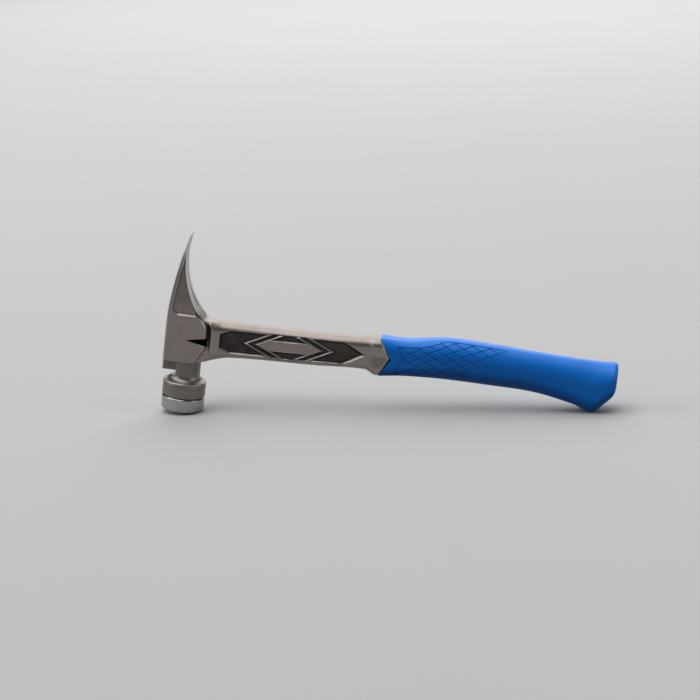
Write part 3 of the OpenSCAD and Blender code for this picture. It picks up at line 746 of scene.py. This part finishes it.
def turned_field(x, y, z, s):
    """The neck with the nail starter's pocket, its fillet and the bell, turned about the head's axis."""
    r = np.hypot(x, y)
    thin = 1 + NECK_THIN * blend_range(z, CHEEK_LOW, CHEEK_LOW + 2)
    neck = np.maximum(np.hypot(x, y * thin) - NECK_R, z - NECK_TOP)
    pocket = np.minimum(-POCKET_X - x, z - NECK_LOW)
    neck = np.where(z < POCKET_TOP, round_max(neck, pocket, POCKET_ROUND), neck)
    bell = round_max(r - BELL_R, BELL_LOW - z, BELL_ROUND_LOW)
    bell = round_max(bell, z - BELL_TOP, BELL_ROUND_TOP)
    bell = bell + rim_groove(BELL_TOP - z, *RIM_GROOVE_SIDE) * (r > BELL_R - RIM_REACH)
    bell = bell + rim_groove(BELL_R - r, *RIM_GROOVE_TOP) * (z > BELL_TOP - RIM_REACH)
    return round_min(neck, bell, s.neck_fillet / MM)


def lip_field(x, z, across):
    """The block of the nail starter's lip."""
    run = np.abs(x + (CROWN_X + LIP_END) / 2) - (CROWN_X - LIP_END) / 2
    rise = np.abs(z - LIP_LOW - LIP_H / 2) - LIP_H / 2
    return round_max(np.maximum(run, rise), across - LIP_HALF, LIP_ROUND)


def thread_depth(x, y, z, pitch, depth):
    """Depth of a right-hand thread of triangular section at each place."""
    phase = z / pitch - np.arctan2(y, x) / (2 * math.pi)
    return depth * (1 - np.abs(2 * (phase - np.floor(phase)) - 1))


def casting_field(x, y, z, s, pitch, depth):
    """Distance to the casting's surface, for points or for a grid's axes."""
    flat_x, flat_z = np.broadcast_arrays(x, z)
    across = np.abs(y)
    fillet = JOIN_FILLET - (JOIN_FILLET - JOIN_SHARP) * blend_range(flat_z, CHEEK_LOW, CHEEK_LOW + 1)
    body = round_min(solid_field(flat_x, flat_z, across, s), turned_field(x, y, z, s), fillet)
    body = np.minimum(body, lip_field(flat_x, flat_z, across))
    notch = np.maximum(polygon_field(flat_x, flat_z, NOTCH), NOTCH_FLOOR - across)
    body = round_max(body, -notch, NOTCH_ROUND)
    slot = across - np.interp(flat_z, SLOT_Z, SLOT_HALF)
    slot = np.maximum(slot, line_field(flat_x, flat_z, SLOT_ROOT, SLOT_CROWN))
    slot = np.maximum(slot, flat_x - SLOT_ROOT[0] - SLOT_REACH)
    body = round_max(body, -slot, SLOT_ROUND)
    bore = np.hypot(x, y) - BORE_R - thread_depth(x, y, z, pitch, depth * BORE_THREAD)
    body = np.maximum(body, -np.maximum(bore, z - BORE_TOP))
    hole = np.maximum(np.hypot(y, z - MAGNET_Z) - MAGNET_R - HOLE_ROOM, x - (MAGNET_X + MAGNET_LEN))
    return np.maximum(body, -hole)


# Meshes


def skin(values, axes):
    """Points and quads round a grid's zero level, for the half whose y runs out from the middle."""
    inside = values < 0
    size = np.array(values.shape)
    some, every = np.zeros(size - 1, bool), np.ones(size - 1, bool)
    for i, j, k in np.ndindex(2, 2, 2):
        part = inside[i:size[0] - 1 + i, j:size[1] - 1 + j, k:size[2] - 1 + k]
        some |= part
        every &= part
    mixed = some & ~every
    cells = np.argwhere(mixed)
    number = np.full(mixed.shape, -1)
    number[mixed] = np.arange(len(cells))
    total, count = np.zeros((len(cells), 3)), np.zeros((len(cells), 1))
    quads = []
    for a in range(3):
        b, c = (a + 1) % 3, (a + 2) % 3
        for j, k in np.ndindex(2, 2):
            low = cells.copy()
            low[:, b] += j
            low[:, c] += k
            high = low.copy()
            high[:, a] += 1
            f0, f1 = values[tuple(low.T)], values[tuple(high.T)]
            cut = (f0 < 0) != (f1 < 0)
            t = np.where(cut, f0 / np.where(cut, f0 - f1, 1), 0)[:, None]
            p0 = np.stack([axes[n][low[:, n]] for n in range(3)], 1)
            p1 = np.stack([axes[n][high[:, n]] for n in range(3)], 1)
            total += cut[:, None] * (p0 + (p1 - p0) * t)
            count += cut[:, None]
        first = inside.take(range(size[a] - 1), a)
        edges = np.argwhere(first != inside.take(range(1, size[a]), a))
        for n in (b, c):
            edges = edges[(edges[:, n] > 0) & (edges[:, n] < size[n] - 1)]
        corners = []
        for j, k in ((1, 1), (0, 1), (0, 0), (1, 0)):
            at = edges.copy()
            at[:, b] -= j
            at[:, c] -= k
            corners.append(number[tuple(at.T)])
        quad = np.stack(corners, 1)
        outward = first[tuple(edges.T)]
        quads.append(np.where(outward[:, None], quad, quad[:, ::-1]))
    points = total / count
    points[cells[:, 1] == 0, 1] = 0
    return points, np.concatenate(quads)


def slopes(field, points, step):
    """The field at points, its gradient and the sum of its second differences."""
    here = field(*points.T)
    slope, bend = np.zeros(points.shape), np.zeros(len(points))
    for n in range(3):
        shift = np.zeros(3)
        shift[n] = step
        up_side, down_side = field(*(points + shift).T), field(*(points - shift).T)
        slope[:, n] = (up_side - down_side) / (2 * step)
        bend += (up_side + down_side - 2 * here) / step ** 2
    return here, slope, bend


def mirrored(points, faces, normals, values):
    """Adds the other half of a half model whose middle plane is y = 0."""
    seam = np.abs(points[:, 1]) < 1e-6
    faces = faces[~seam[faces].all(1)]
    twin = np.arange(len(points))
    twin[~seam] = len(points) + np.arange((~seam).sum())
    flip = np.array([1, -1, 1])
    return (
        np.concatenate([points, points[~seam] * flip]),
        np.concatenate([faces, twin[faces][:, ::-1]]),
        np.concatenate([normals, normals[~seam] * flip]),
        {k: np.concatenate([v, v[~seam]]) for k, v in values.items()},
    )


def unit(vectors):
    return vectors / np.maximum(np.linalg.norm(vectors, axis=-1, keepdims=True), 1e-12)


def face_normals(points, faces):
    """Normals of triangles, as long as twice their area."""
    corners = points[faces]
    return np.cross(corners[:, 1] - corners[:, 0], corners[:, 2] - corners[:, 0])


def make_piece(name, points, faces, material, body, node, values=None):
    """A mesh object from the hammer's millimetres, riding on its body in place of its CAD node."""
    mesh = bpy.data.meshes.new(name)
    mesh.from_pydata(to_part(points).tolist(), [], [list(map(int, f)) for f in faces])
    mesh.validate()
    for key, value in (values or {}).items():
        mesh.attributes.new(key, "FLOAT", "POINT").data.foreach_set("value", np.asarray(value, np.float32))
    mesh.shade_smooth()
    mesh.materials.append(material)
    piece = bpy.data.objects.new(name, mesh)
    bpy.context.scene.collection.objects.link(piece)
    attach(piece, body)
    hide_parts(node)
    return piece


def casting_marks(points, normals, bend, s):
    """What the casting's finish needs at each point: the shade and highlights painted on it, its worn edges,
    its tip bright from grinding, and its turned bell.
    """
    x, y, z = points.T
    # Painted black shade in the notch, the nail starter's pocket and the claw's slot
    notch = fade_out(polygon_field(x, z, NOTCH), *NOTCH_MARK) * fade_out(y, *NOTCH_MARK_Y)
    pocket = (x < POCKET_MARK - POCKET_X) * (z > NECK_LOW + POCKET_MARK) * fade_out(z, LIP_LOW, LIP_LOW + 1)
    slit = fade_out(y, *SLIT_Y) * fade_out(z, *SLIT_Z) * (x < SLIT_X)
    slit *= fade_out(line_field(x, z, SLOT_ROOT, SLOT_CROWN), *SLIT_END)
    # Highlights painted on the hollow's face and along the crown's edge
    hollow = fade_out(np.abs(hollow_field(x, z)), *HOLLOW_HIGHLIGHT) * blend_range(z, *HOLLOW_HIGHLIGHT_Z)
    edge = np.clip(bend / EDGE_BEND - EDGE_LEAST, 0, 1)
    crown_edge = CROWN_HIGHLIGHT * edge * blend_range(crown_field(x, z), *CROWN_EDGE)
    # The neck is never rubbed, and shade is painted on it under the cheek
    neck = NECK_SHADE * blend_range(z, *NECK_SHADE_Z) * (z < CHEEK_LOW)
    return {
        # Painted shade in creases and on the neck
        "cavity": np.maximum(np.clip(-bend / CAVITY_BEND, 0, CAVITY_MOST), neck),
        # Painted shade on the panel's floor and a painted shadow in the channel, left off faces that lean up
        "recess": recess_share(x, z, s) * (y > SIDE_Y) * fade_out(normals[:, 2], *SIDE_LEAN),
        "deep": np.maximum.reduce([notch, POCKET_SHADE * pocket, slit]),
        "edge": edge,
        # The tip is ground bright; the hollow and the crown's edge get painted highlights
        "ground": np.maximum.reduce([blend_range(z, *TIP_Z), hollow * (x < NOSE_X), crown_edge]),
        "turned": fade_out(z, *TURNED_Z) * (np.hypot(x, y) > BELL_R - TURNED_IN),
        "head_z": z,
    }


def casting_mesh(s, pitch, depth):
    """The casting's surface, pulled onto its field, with its normals and the values that its finish uses."""
    cell, long_cell = s.cell / MM, s.shank_cell / MM
    run = np.concatenate([
        np.arange(-CROWN_X - MESH_ROOM, MESH_SPLIT, cell),
        np.arange(MESH_SPLIT + long_cell / 2, MESH_END, long_cell),
    ])
    rise = np.arange(BELL_LOW - MESH_ROOM_LOW, HEAD_TOP + MESH_ROOM, cell)
    out = (np.arange(-1, BELL_R / cell + 2) + 0.5) * cell

    def field(x, y, z):
        return casting_field(x, y, z, s, pitch, depth)

    points, quads = skin(field(run[:, None, None], out[None, :, None], rise[None, None, :]), (run, out, rise))
    for _ in range(2):
        here, slope, _bend = slopes(field, points, PULL_STEP)
        pull = here / np.maximum((slope ** 2).sum(1), 0.25)
        points = points - slope * np.clip(pull, -PULL_MOST, PULL_MOST)[:, None]
        points[:, 1] = np.maximum(points[:, 1], 0)
    normals = unit(slopes(field, points, NORMAL_STEP)[1])
    bend = slopes(field, points, BEND_STEP)[2]
    return mirrored(points, quads, normals, casting_marks(points, normals, bend, s))


def lathe(profile, sides, shift=None, closed=False):
    """Points and faces of a turned form, from its profile of radius and height."""
    turns = np.linspace(0, 2 * math.pi, sides, endpoint=False)
    points, rings = [], []
    for radius, height in profile:
        if radius < 1e-6:
            rings.append([len(points)])
            points.append((0, 0, height))
            continue
        rings.append(list(range(len(points), len(points) + sides)))
        for a in turns:
            r = radius - (shift(a, height) if shift else 0)
            points.append((r * math.cos(a), r * math.sin(a), height))
    faces = []
    for low, high in zip(rings, [*rings[1:], rings[0]] if closed else rings[1:]):
        for i in range(sides):
            j = (i + 1) % sides
            face = [low[i % len(low)], low[j % len(low)], high[j % len(high)], high[i % len(high)]]
            faces.append(list(dict.fromkeys(face)))
    return np.array(points), faces


def rounded(profile, radius, steps=3):
    """A profile whose inner corners are replaced by short arcs."""
    made = [profile[0]]
    for before, here, after in zip(profile, profile[1:], profile[2:]):
        p, a, b = (np.array(q, float) for q in (here, before, after))
        u, v = (a - p) / np.linalg.norm(a - p), (b - p) / np.linalg.norm(b - p)
        reach = min(radius, np.linalg.norm(a - p) / 2.5, np.linalg.norm(b - p) / 2.5)
        for t in np.linspace(0, 1, steps + 1):
            q = p + u * reach * (1 - t) ** 2 + v * reach * t ** 2
            made.append(tuple(q))
    return [*made, profile[-1]]


def face_mesh(s):
    """The steel face, and its stud with the thread that runs in at its foot and out at its end."""
    pitch, depth = s.pitch / MM, s.thread / MM
    rim = [
        (0, 0), *[(r, 0) for r in FACE_RINGS], (FACE_R - FACE_CHAMFER, 0), (FACE_R, FACE_CHAMFER),
        (FACE_R, FACE_H - FACE_BEVEL), (FACE_R - FACE_BEVEL, FACE_H),
        (STUD_R + STUD_FOOT, FACE_H), (STUD_R, FACE_H + STUD_FOOT),
    ]
    rows = np.linspace(FACE_H + THREAD_FOOT, STUD_TOP - STUD_CHAMFER, THREAD_ROWS)
    cap = [(STUD_R - STUD_CHAMFER, STUD_TOP), (STUD_R / 2, STUD_TOP), (0, STUD_TOP)]

    def cut(angle, height):
        if height < rows[0] - 0.01:
            return 0
        run_in = float(blend_range(height, rows[0], rows[0] + pitch))
        run_out = float(1 - THREAD_RUN_OUT * blend_range(height, rows[-1] - 0.5, STUD_TOP))
        groove = thread_depth(math.cos(angle), math.sin(angle), height, pitch, depth)
        return SEAT_ROOM + float(groove) * run_in * run_out

    return lathe([*rounded(rim, FACE_CORNER), *[(STUD_R, z) for z in rows], *cap], s.sides, cut)


def washer_mesh(s):
    """A flat ring whose outer wall bulges a little."""
    low, high, wall = FACE_H + SEAT_ROOM, WASHER_TOP - SEAT_ROOM, WASHER_R - WASHER_BULGE
    mid = (FACE_H + WASHER_TOP) / 2
    profile = [
        (WASHER_HOLE, mid), (WASHER_HOLE, low), (wall, low), (WASHER_R, mid), (wall, high),
        (WASHER_HOLE, high), (WASHER_HOLE, mid),
    ]
    return lathe(rounded(profile, SMALL_CORNER, 2)[:-1], s.sides, closed=True)


def magnet_mesh(s):
    """A short cylinder along the handle, chamfered at its seen end."""
    profile = [
        (0, 0), (MAGNET_RING, 0), (MAGNET_R - MAGNET_CHAMFER, 0), (MAGNET_R, MAGNET_CHAMFER),
        (MAGNET_R, MAGNET_LEN), (MAGNET_RING, MAGNET_LEN), (0, MAGNET_LEN),
    ]
    points, faces = lathe(rounded(profile, SMALL_CORNER, 2), s.sides // 2)
    return np.stack([MAGNET_X + points[:, 2], -points[:, 1], MAGNET_Z + points[:, 0]], 1), faces


# Grip


class GripSurface:
    """The grip's half surface, by the place along the handle and the share of the way round.

    The share runs from 1 on the top line to -1 on the bottom line.
    """

    rows = np.arange(GRIP_FIRST, BUTT_X + 0.01, ROW_STEP)
    shares = np.linspace(1, -1, 241)

    def __init__(self):
        x = self.rows
        places, tops, lows, widths = GRIP_STATIONS.T

        def line(values):
            return np.where(x > HEEL_X, np.interp(x, places, values), hermite(places, values, x))

        top, low = line(tops), line(lows)
        # The bottom line is softened where it turns inward, by the mean of its neighbours
        before = np.full(SOFT_ROWS, low[0])
        after = low[-1] + (low[-1] - low[-2]) * np.arange(1, SOFT_ROWS + 1)
        wide = 2 * SOFT_ROWS + 1
        low = np.maximum(low, np.convolve([*before, *low, *after], np.full(wide, 1 / wide), "valid"))
        half = hermite(places, widths, np.minimum(x, HEEL_X)) / 2
        upper, under = np.interp(x, ROUND_X, ROUND_OVER), np.interp(x, ROUND_X, ROUND_UNDER)
        top, low, half, upper, under = (v[:, None] for v in (top, low, half, upper, under))
        tall = (top - low) / 2
        # A section from its top line to its bottom line: flat, corner, wall, corner, flat
        a = np.linspace(0, math.pi / 2, 48)
        flat, ones = np.linspace(0, 1, 12, endpoint=False), np.ones(12)
        ys = np.concatenate([
            half * (1 - upper) * flat, half * (1 - upper + upper * np.sin(a)), half * ones,
            half * (1 - under + under * np.cos(a)), half * (1 - under) * (1 - flat), 0 * half,
        ], 1)
        zs = np.concatenate([
            top * ones, top - tall * upper * (1 - np.cos(a)),
            top - tall * upper - tall * (2 - upper - under) * flat,
            low + tall * under * (1 - np.sin(a)), low * ones, low,
        ], 1)
        arc = np.concatenate([0 * half, np.cumsum(np.hypot(np.diff(ys), np.diff(zs)), 1)], 1)
        way = 1 - 2 * arc / arc[:, -1:]
        self.y = np.array([np.interp(-self.shares, -w, v) for w, v in zip(way, ys)])
        self.z = np.array([np.interp(-self.shares, -w, v) for w, v in zip(way, zs)])
        self.reach = arc[:, -1] / 2

    def section(self, x, share):
        """Place across and height of points on the surface, read between the rows and the shares."""
        i = np.clip((x - self.rows[0]) / ROW_STEP, 0, len(self.rows) - 1.001)
        j = np.clip((1 - share) / 2 * (len(self.shares) - 1), 0, len(self.shares) - 1.001)
        i0, j0 = i.astype(int), j.astype(int)
        u, v = i - i0, j - j0
        return [
            (t[i0, j0] * (1 - u) + t[i0 + 1, j0] * u) * (1 - v)
            + (t[i0, j0 + 1] * (1 - u) + t[i0 + 1, j0 + 1] * u) * v
            for t in (self.y, self.z)
        ]

    def half_way(self, x):
        """Half the length round the half section."""
        return np.interp(x, self.rows, self.reach)

    def at(self, x, share, depth=0.0):
        """Points on the surface, or at a depth under it, and their normals."""
        d, e = 0.75, 0.012
        y0, z0 = self.section(x - d, share)
        y1, z1 = self.section(x + d, share)
        run = np.stack([np.full(x.shape, 2 * d), y1 - y0, z1 - z0], -1)
        y0, z0 = self.section(x, np.minimum(share + e, 1))
        y1, z1 = self.section(x, np.maximum(share - e, -1))
        normal = np.cross(run, np.stack([0 * x, y1 - y0, z1 - z0], -1))
        normal[:, 1] = np.where(np.abs(share) > 1 - 1e-9, 0, normal[:, 1])
        normal = unit(normal)
        points = np.stack([x, *self.section(x, share)], -1)
        return points - normal * np.reshape(depth, (-1, 1)), normal

    def inset(self, x, share, depth):
        """Points of a section drawn in by a depth, and their normals in the section's plane."""
        points, normal = self.at(x, share)
        normal[:, 0] = 0
        normal = unit(normal)
        points = points - normal * depth
        points[:, 1] = np.maximum(points[:, 1], 0)
        return points, normal

    def front(self, share):
        """Place along the handle of the grip's arrow-shaped front."""
        x = np.full(np.shape(share), COLLAR_X + 5.0)
        for _ in range(8):
            _y, z = self.section(x, share)
            x = VEE_TIP[0] - np.abs(z - VEE_TIP[1]) * VEE_RUN / VEE_RISE
        return x


def distance_to_edge(x, w):
    """Distance inside the faded end and the underside of the crosshatch."""
    end = line_field(x, w, HATCH_EDGE[3], HATCH_EDGE[0])
    return np.minimum(end, w - HATCH_EDGE[3][1])


def groove_depth(x, w, s):
    """Depth of the crosshatch and its border at a place on the unrolled grip."""
    slope, pitch = s.diamond_h / s.diamond_l, s.diamond_h / MM
    near = np.inf
    for side in (-1, 1):
        phase = (w - HATCH_CENTRE[1] - side * slope * (x - HATCH_CENTRE[0])) / pitch
        near = np.minimum(near, np.abs(phase - np.round(phase)) * pitch / math.hypot(1, slope))
    near = np.where(polygon_field(x, w, HATCH_OUTLINE) < 0, near, np.inf)
    for path in (HATCH_BORDER, HATCH_LEFT):
        near = np.minimum(near, path_field(x, w, path))
    fade = blend_range(distance_to_edge(x, w), -HATCH_OVER, HATCH_FADE - HATCH_OVER)
    return s.groove_d / MM * np.clip(1 - near / (s.groove_w / MM / 2), 0, 1) * fade


def kept_runs(points, keep):
    """The stretches of a line's points that are kept."""
    ends = np.flatnonzero(np.diff([0, *keep, 0]))
    return [points[a:b] for a, b in zip(ends[::2], ends[1::2])]


def hatch_paths(s):
    """Centre and edge lines of every groove, as runs of points on the unrolled grip."""
    half_w = s.groove_w / MM / 2
    slope, pitch = s.diamond_h / s.diamond_l, s.diamond_h / MM
    runs = []
    for side in (-1, 1):
        for k in range(-HATCH_ROWS, HATCH_ROWS + 1):
            for shift in (-1, 0, 1):
                ws = HATCH_CENTRE[1] + side * slope * (HATCH_RUN - HATCH_CENTRE[0]) + k * pitch
                ws = ws + shift * half_w * math.hypot(1, slope)
                inside = polygon_field(HATCH_RUN, ws, HATCH_OUTLINE) < 0
                keep = inside & (distance_to_edge(HATCH_RUN, ws) > -HATCH_OVER)
                runs += kept_runs(list(zip(HATCH_RUN, ws)), keep)
    for path in (HATCH_BORDER, HATCH_LEFT):
        for (ax, aw), (bx, bw) in zip(path, path[1:]):
            ex, ew = bx - ax, bw - aw
            size = math.hypot(ex, ew)
            steps = np.linspace(0, 1, max(2, int(size / BORDER_STEP)) + 1)
            for shift in (-half_w, 0, half_w):
                px, pw = ax - shift * ew / size, aw + shift * ex / size
                runs.append([(px + ex * t, pw + ew * t) for t in steps])
    return [run for run in runs if len(run) > 1]


def unrolled_side(surface, s, start, last):
    """Points and triangles of the unrolled side: its boundary, the grooves' lines and a grid between them."""
    verts, edges = [], []

    def chain(points, closed=False):
        first = len(verts)
        verts.extend(points)
        pairs = [(i, i + 1) for i in range(first, len(verts) - 1)]
        edges.extend([*pairs, (len(verts) - 1, first)] if closed else pairs)

    tops = np.linspace(start[0], last, EDGE_POINTS)[1:-1]
    lows = np.linspace(last, start[-1], EDGE_POINTS)[1:-1]
    chain(
        [*zip(start[::-1], GRIP_SHARES[::-1] * SPREAD), *[(x, SPREAD) for x in tops],
         *[(last, v * SPREAD) for v in GRIP_SHARES], *[(x, -SPREAD) for x in lows]],
        closed=True,
    )
    for run in hatch_paths(s):
        chain([(x, w / float(surface.half_way(x)) * SPREAD) for x, w in run])
    xs, vs = np.meshgrid(np.arange(COLLAR_X + 1, last - 0.5, s.step_x / MM), GRID_SHARES)
    clear = xs > np.interp(-vs, -GRIP_SHARES, start) + GRID_ROOM
    plain = groove_depth(xs, vs * surface.half_way(xs), s) < 1e-6
    verts.extend(zip(xs[clear & plain], vs[clear & plain] * SPREAD))
    made, _edges, faces, *_ids = delaunay_2d_cdt([Vector(v) for v in verts], edges, [], 1, 1e-5)
    return np.array([tuple(v) for v in made]), [list(f) for f in faces]


def end_rows(surface, edge, radius, outward, steps):
    """Rows of points and normals past an end of the grip: its rounding, then its cap."""
    face = np.tile((outward, 0.0, 0.0), (len(edge), 1))
    rows = []
    for a in np.linspace(0, math.pi / 2, steps + 1)[1:]:
        x = edge + outward * radius * math.sin(a)
        row, normal = surface.inset(x, GRIP_SHARES, radius * (1 - math.cos(a)))
        rows.append((row, normal * math.cos(a) + face * math.sin(a)))
    rim, _normal = rows[-1]
    return [*rows, *[(rim * np.array([1, share, 1]), face) for share in CAP_SHARES]]


def grip_mesh(s):
    """Points, triangles, normals and groove depths of half the grip."""
    surface = GripSurface()
    butt = s.butt_round / MM
    start, last = surface.front(GRIP_SHARES) + GRIP_LIP, BUTT_X - butt
    flat, faces = unrolled_side(surface, s, start, last)
    x, share = flat[:, 0], np.clip(flat[:, 1] / SPREAD, -1, 1)
    depth = groove_depth(x, share * surface.half_way(x), s)
    points, normals = surface.at(x, share, depth)
    for edge, radius, outward, steps in (
        (np.full(len(GRIP_SHARES), last), butt, 1, BUTT_STEPS), (start, GRIP_LIP, -1, LIP_STEPS),
    ):
        goals = np.stack([edge, GRIP_SHARES * SPREAD], 1)
        previous = [int(np.argmin(((flat - goal) ** 2).sum(1))) for goal in goals]
        for row, row_normals in end_rows(surface, edge, radius, outward, steps):
            number = list(range(len(points), len(points) + len(row)))
            points = np.concatenate([points, row])
            normals = np.concatenate([normals, row_normals])
            for i in range(len(row) - 1):
                faces.append([previous[i], previous[i + 1], number[i + 1]])
                faces.append([previous[i], number[i + 1], number[i]])
            previous = number
    depth = np.concatenate([depth, np.zeros(len(points) - len(depth))])
    faces = np.array(faces)
    inward = (face_normals(points, faces) * normals[faces].sum(1)).sum(1) < 0
    faces[inward] = faces[inward][:, ::-1]
    return points, faces, normals, depth


# Stage


def make_floor(s, scene):
    """A round floor that curves up into a backdrop."""
    profile = [(0, 0), (FLOOR_MID, 0), (FLOOR_R, 0)]
    for a in COVE_ANGLES:
        profile.append((FLOOR_R + COVE_R * math.sin(a), COVE_R * (1 - math.cos(a))))
    points, faces = lathe(profile, FLOOR_SIDES)
    mesh = bpy.data.meshes.new("floor")
    mesh.from_pydata(points.tolist(), [], faces)
    mesh.shade_smooth()
    mesh.materials.append(paper_finish(s))
    floor = bpy.data.objects.new("floor", mesh)
    scene.collection.objects.link(floor)
    # The hammer stands on its face, so the floor goes down with it as it is unscrewed
    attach(floor, "washer")


def make_light(scene, name, kind, place, target):
    """A light that points at a target and isn't seen itself."""
    light = bpy.data.lights.new(name, kind)
    holder = bpy.data.objects.new(name, light)
    holder.location = place
    holder.rotation_euler = (Vector(target) - Vector(place)).to_track_quat("-Z", "Y").to_euler()
    holder.visible_camera = False
    scene.collection.objects.link(holder)
    return light


def make_lights(s, scene):
    """A wide light from above, three panels round the hammer and a faint room."""
    key = make_light(scene, "key_light", "SUN", KEY_PLACE, (0, 0, 0))
    key.energy, key.angle = s.key, KEY_WIDTH
    for side, (size, place) in LIGHT_PANELS.items():
        panel = make_light(scene, f"{side}_panel", "AREA", place, LIGHT_TARGET)
        panel.shape = "RECTANGLE"
        panel.size, panel.size_y = size
        panel.energy = getattr(s, side) * math.pi * size[0] * size[1]
    world = bpy.data.worlds.new("soft_room")
    world.use_nodes = True
    sky = world.node_tree.nodes["Background"]
    sky.inputs["Color"].default_value = (1.0, 1.0, 1.0, 1.0)
    sky.inputs["Strength"].default_value = s.ambient
    scene.world = world
    scene.view_settings.view_transform = "Standard"


def make_camera(s, scene):
    """A camera turned about the point that it looks at, until the handle has its slope in the picture."""
    a, e = s.azimuth, s.elevation
    right = Vector((math.cos(a), math.sin(a), 0))
    upward = Vector((-math.sin(a) * math.sin(e), math.cos(a) * math.sin(e), math.cos(e)))
    back = Vector((math.sin(a) * math.cos(e), -math.cos(a) * math.cos(e), math.sin(e)))
    droop = math.atan2(-along.z, along.x)
    turned = Matrix.Rotation(droop - s.slope, 3, "Y") @ Matrix((right, upward, back)).transposed()
    camera = bpy.data.objects.new("camera", bpy.data.cameras.new("camera"))
    camera.data.lens, camera.data.sensor_width = s.lens, SENSOR_W
    camera.data.clip_start, camera.data.clip_end = CLIP_RANGE
    middle = Vector(to_part(np.array(s.look_at) / MM))
    spot = middle + turned @ Vector((0, 0, s.distance))
    camera.matrix_world = Matrix.Translation(spot) @ turned.to_4x4()
    scene.collection.objects.link(camera)
    scene.camera = camera


# Operators


class HAMMER_OT_casting(bpy.types.Operator):
    """Make the titanium casting: claw, cheeks, neck, bell and shank"""

    bl_idname = "hammer.casting"
    bl_label = "Casting"

    def execute(self, context):
        s, face = context.scene.hammer_casting, context.scene.hammer_face
        points, faces, normals, marks = casting_mesh(s, face.pitch / MM, face.thread / MM)
        piece = make_piece(
            "casting", points, faces, titanium_finish(s), "hammer", "hammer_body", marks
        )
        piece.data.normals_split_custom_set_from_vertices((normals @ AXES).tolist())
        return {"FINISHED"}


class HAMMER_OT_face(bpy.types.Operator):
    """Make the polished steel face with its threaded stud"""

    bl_idname = "hammer.face"
    bl_label = "Striking face"

    def execute(self, context):
        s = context.scene.hammer_face
        points, faces = face_mesh(s)
        piece = make_piece(
            "striking_face_steel", points, faces, steel_finish(s), "face", "striking_face",
            {"head_z": points[:, 2]},
        )
        piece.data.set_sharp_from_angle(angle=math.radians(35))
        return {"FINISHED"}


class HAMMER_OT_washer(bpy.types.Operator):
    """Make the thin black washer between the bell and the face"""

    bl_idname = "hammer.washer"
    bl_label = "Washer"

    def execute(self, context):
        s = context.scene.hammer_face
        points, faces = washer_mesh(s)
        piece = make_piece(
            "washer", points, faces, rubber_finish(s), "washer", "face_washer"
        )
        piece.data.set_sharp_from_angle(angle=math.radians(50))
        return {"FINISHED"}


class HAMMER_OT_magnet(bpy.types.Operator):
    """Make the round magnet of the nail starter"""

    bl_idname = "hammer.magnet"
    bl_label = "Magnet"

    def execute(self, context):
        s = context.scene.hammer_face
        points, faces = magnet_mesh(s)
        piece = make_piece(
            "magnet", points, faces, nickel_finish(s), "hammer", "nail_magnet"
        )
        piece.data.set_sharp_from_angle(angle=math.radians(35))
        return {"FINISHED"}


class HAMMER_OT_grip(bpy.types.Operator):
    """Make the moulded grip with its engraved crosshatch"""

    bl_idname = "hammer.grip"
    bl_label = "Grip"

    def execute(self, context):
        s = context.scene.hammer_grip
        points, faces, normals, depth = grip_mesh(s)
        marks = {"groove": depth / (s.groove_d / MM)}
        points, faces, normals, marks = mirrored(points, faces, normals, marks)
        piece = make_piece(
            "grip_rubber", points, faces, grip_finish(s), "hammer", "grip", marks
        )
        # Engraved triangles are shaded flat, so that the grooves keep their edges
        flat = unit(face_normals(points, faces))
        engraved = marks["groove"][faces].max(1) > 0.02
        split = np.where(engraved[:, None, None], flat[:, None, :], normals[faces])
        piece.data.normals_split_custom_set((split.reshape(-1, 3) @ AXES).tolist())
        return {"FINISHED"}


class HAMMER_OT_stage(bpy.types.Operator):
    """Make the floor, the backdrop, the lights and the camera"""

    bl_idname = "hammer.stage"
    bl_label = "Stage"

    def execute(self, context):
        s, scene = context.scene.hammer_stage, context.scene
        make_floor(s, scene)
        make_lights(s, scene)
        make_camera(s, scene)
        return {"FINISHED"}


class HAMMER_PT_sidebar(bpy.types.Panel):
    """Lists the hammer's pieces and their settings"""

    bl_idname = "HAMMER_PT_sidebar"
    bl_label = "Framing hammer"
    bl_space_type = "VIEW_3D"
    bl_region_type = "UI"
    bl_category = "Hammer"

    def draw(self, context):
        for operator in PIECES:
            self.layout.operator(operator.bl_idname)
        for key in GROUPS:
            group = getattr(context.scene, key)
            box = self.layout.box()
            box.label(text=group.bl_rna.description)
            for name in group.bl_rna.properties.keys():
                if name not in ("rna_type", "name"):
                    box.prop(group, name)


GROUPS = {
    "hammer_casting": CastingSettings,
    "hammer_face": FaceSettings,
    "hammer_grip": GripSettings,
    "hammer_stage": StageSettings,
}
PIECES = (
    HAMMER_OT_stage, HAMMER_OT_casting, HAMMER_OT_face, HAMMER_OT_washer, HAMMER_OT_magnet, HAMMER_OT_grip,
)


def register():
    for cls in (*GROUPS.values(), *PIECES, HAMMER_PT_sidebar):
        bpy.utils.register_class(cls)
    for key, group in GROUPS.items():
        setattr(bpy.types.Scene, key, PointerProperty(type=group))


def unregister():
    for key in GROUPS:
        delattr(bpy.types.Scene, key)
    for cls in (HAMMER_PT_sidebar, *PIECES[::-1], *GROUPS.values()):
        bpy.utils.unregister_class(cls)


def main():
    register()
    bpy.ops.hammer.stage()
    bpy.ops.hammer.casting()
    bpy.ops.hammer.face()
    bpy.ops.hammer.washer()
    bpy.ops.hammer.magnet()
    bpy.ops.hammer.grip()


if __name__ == "__main__":
    main()
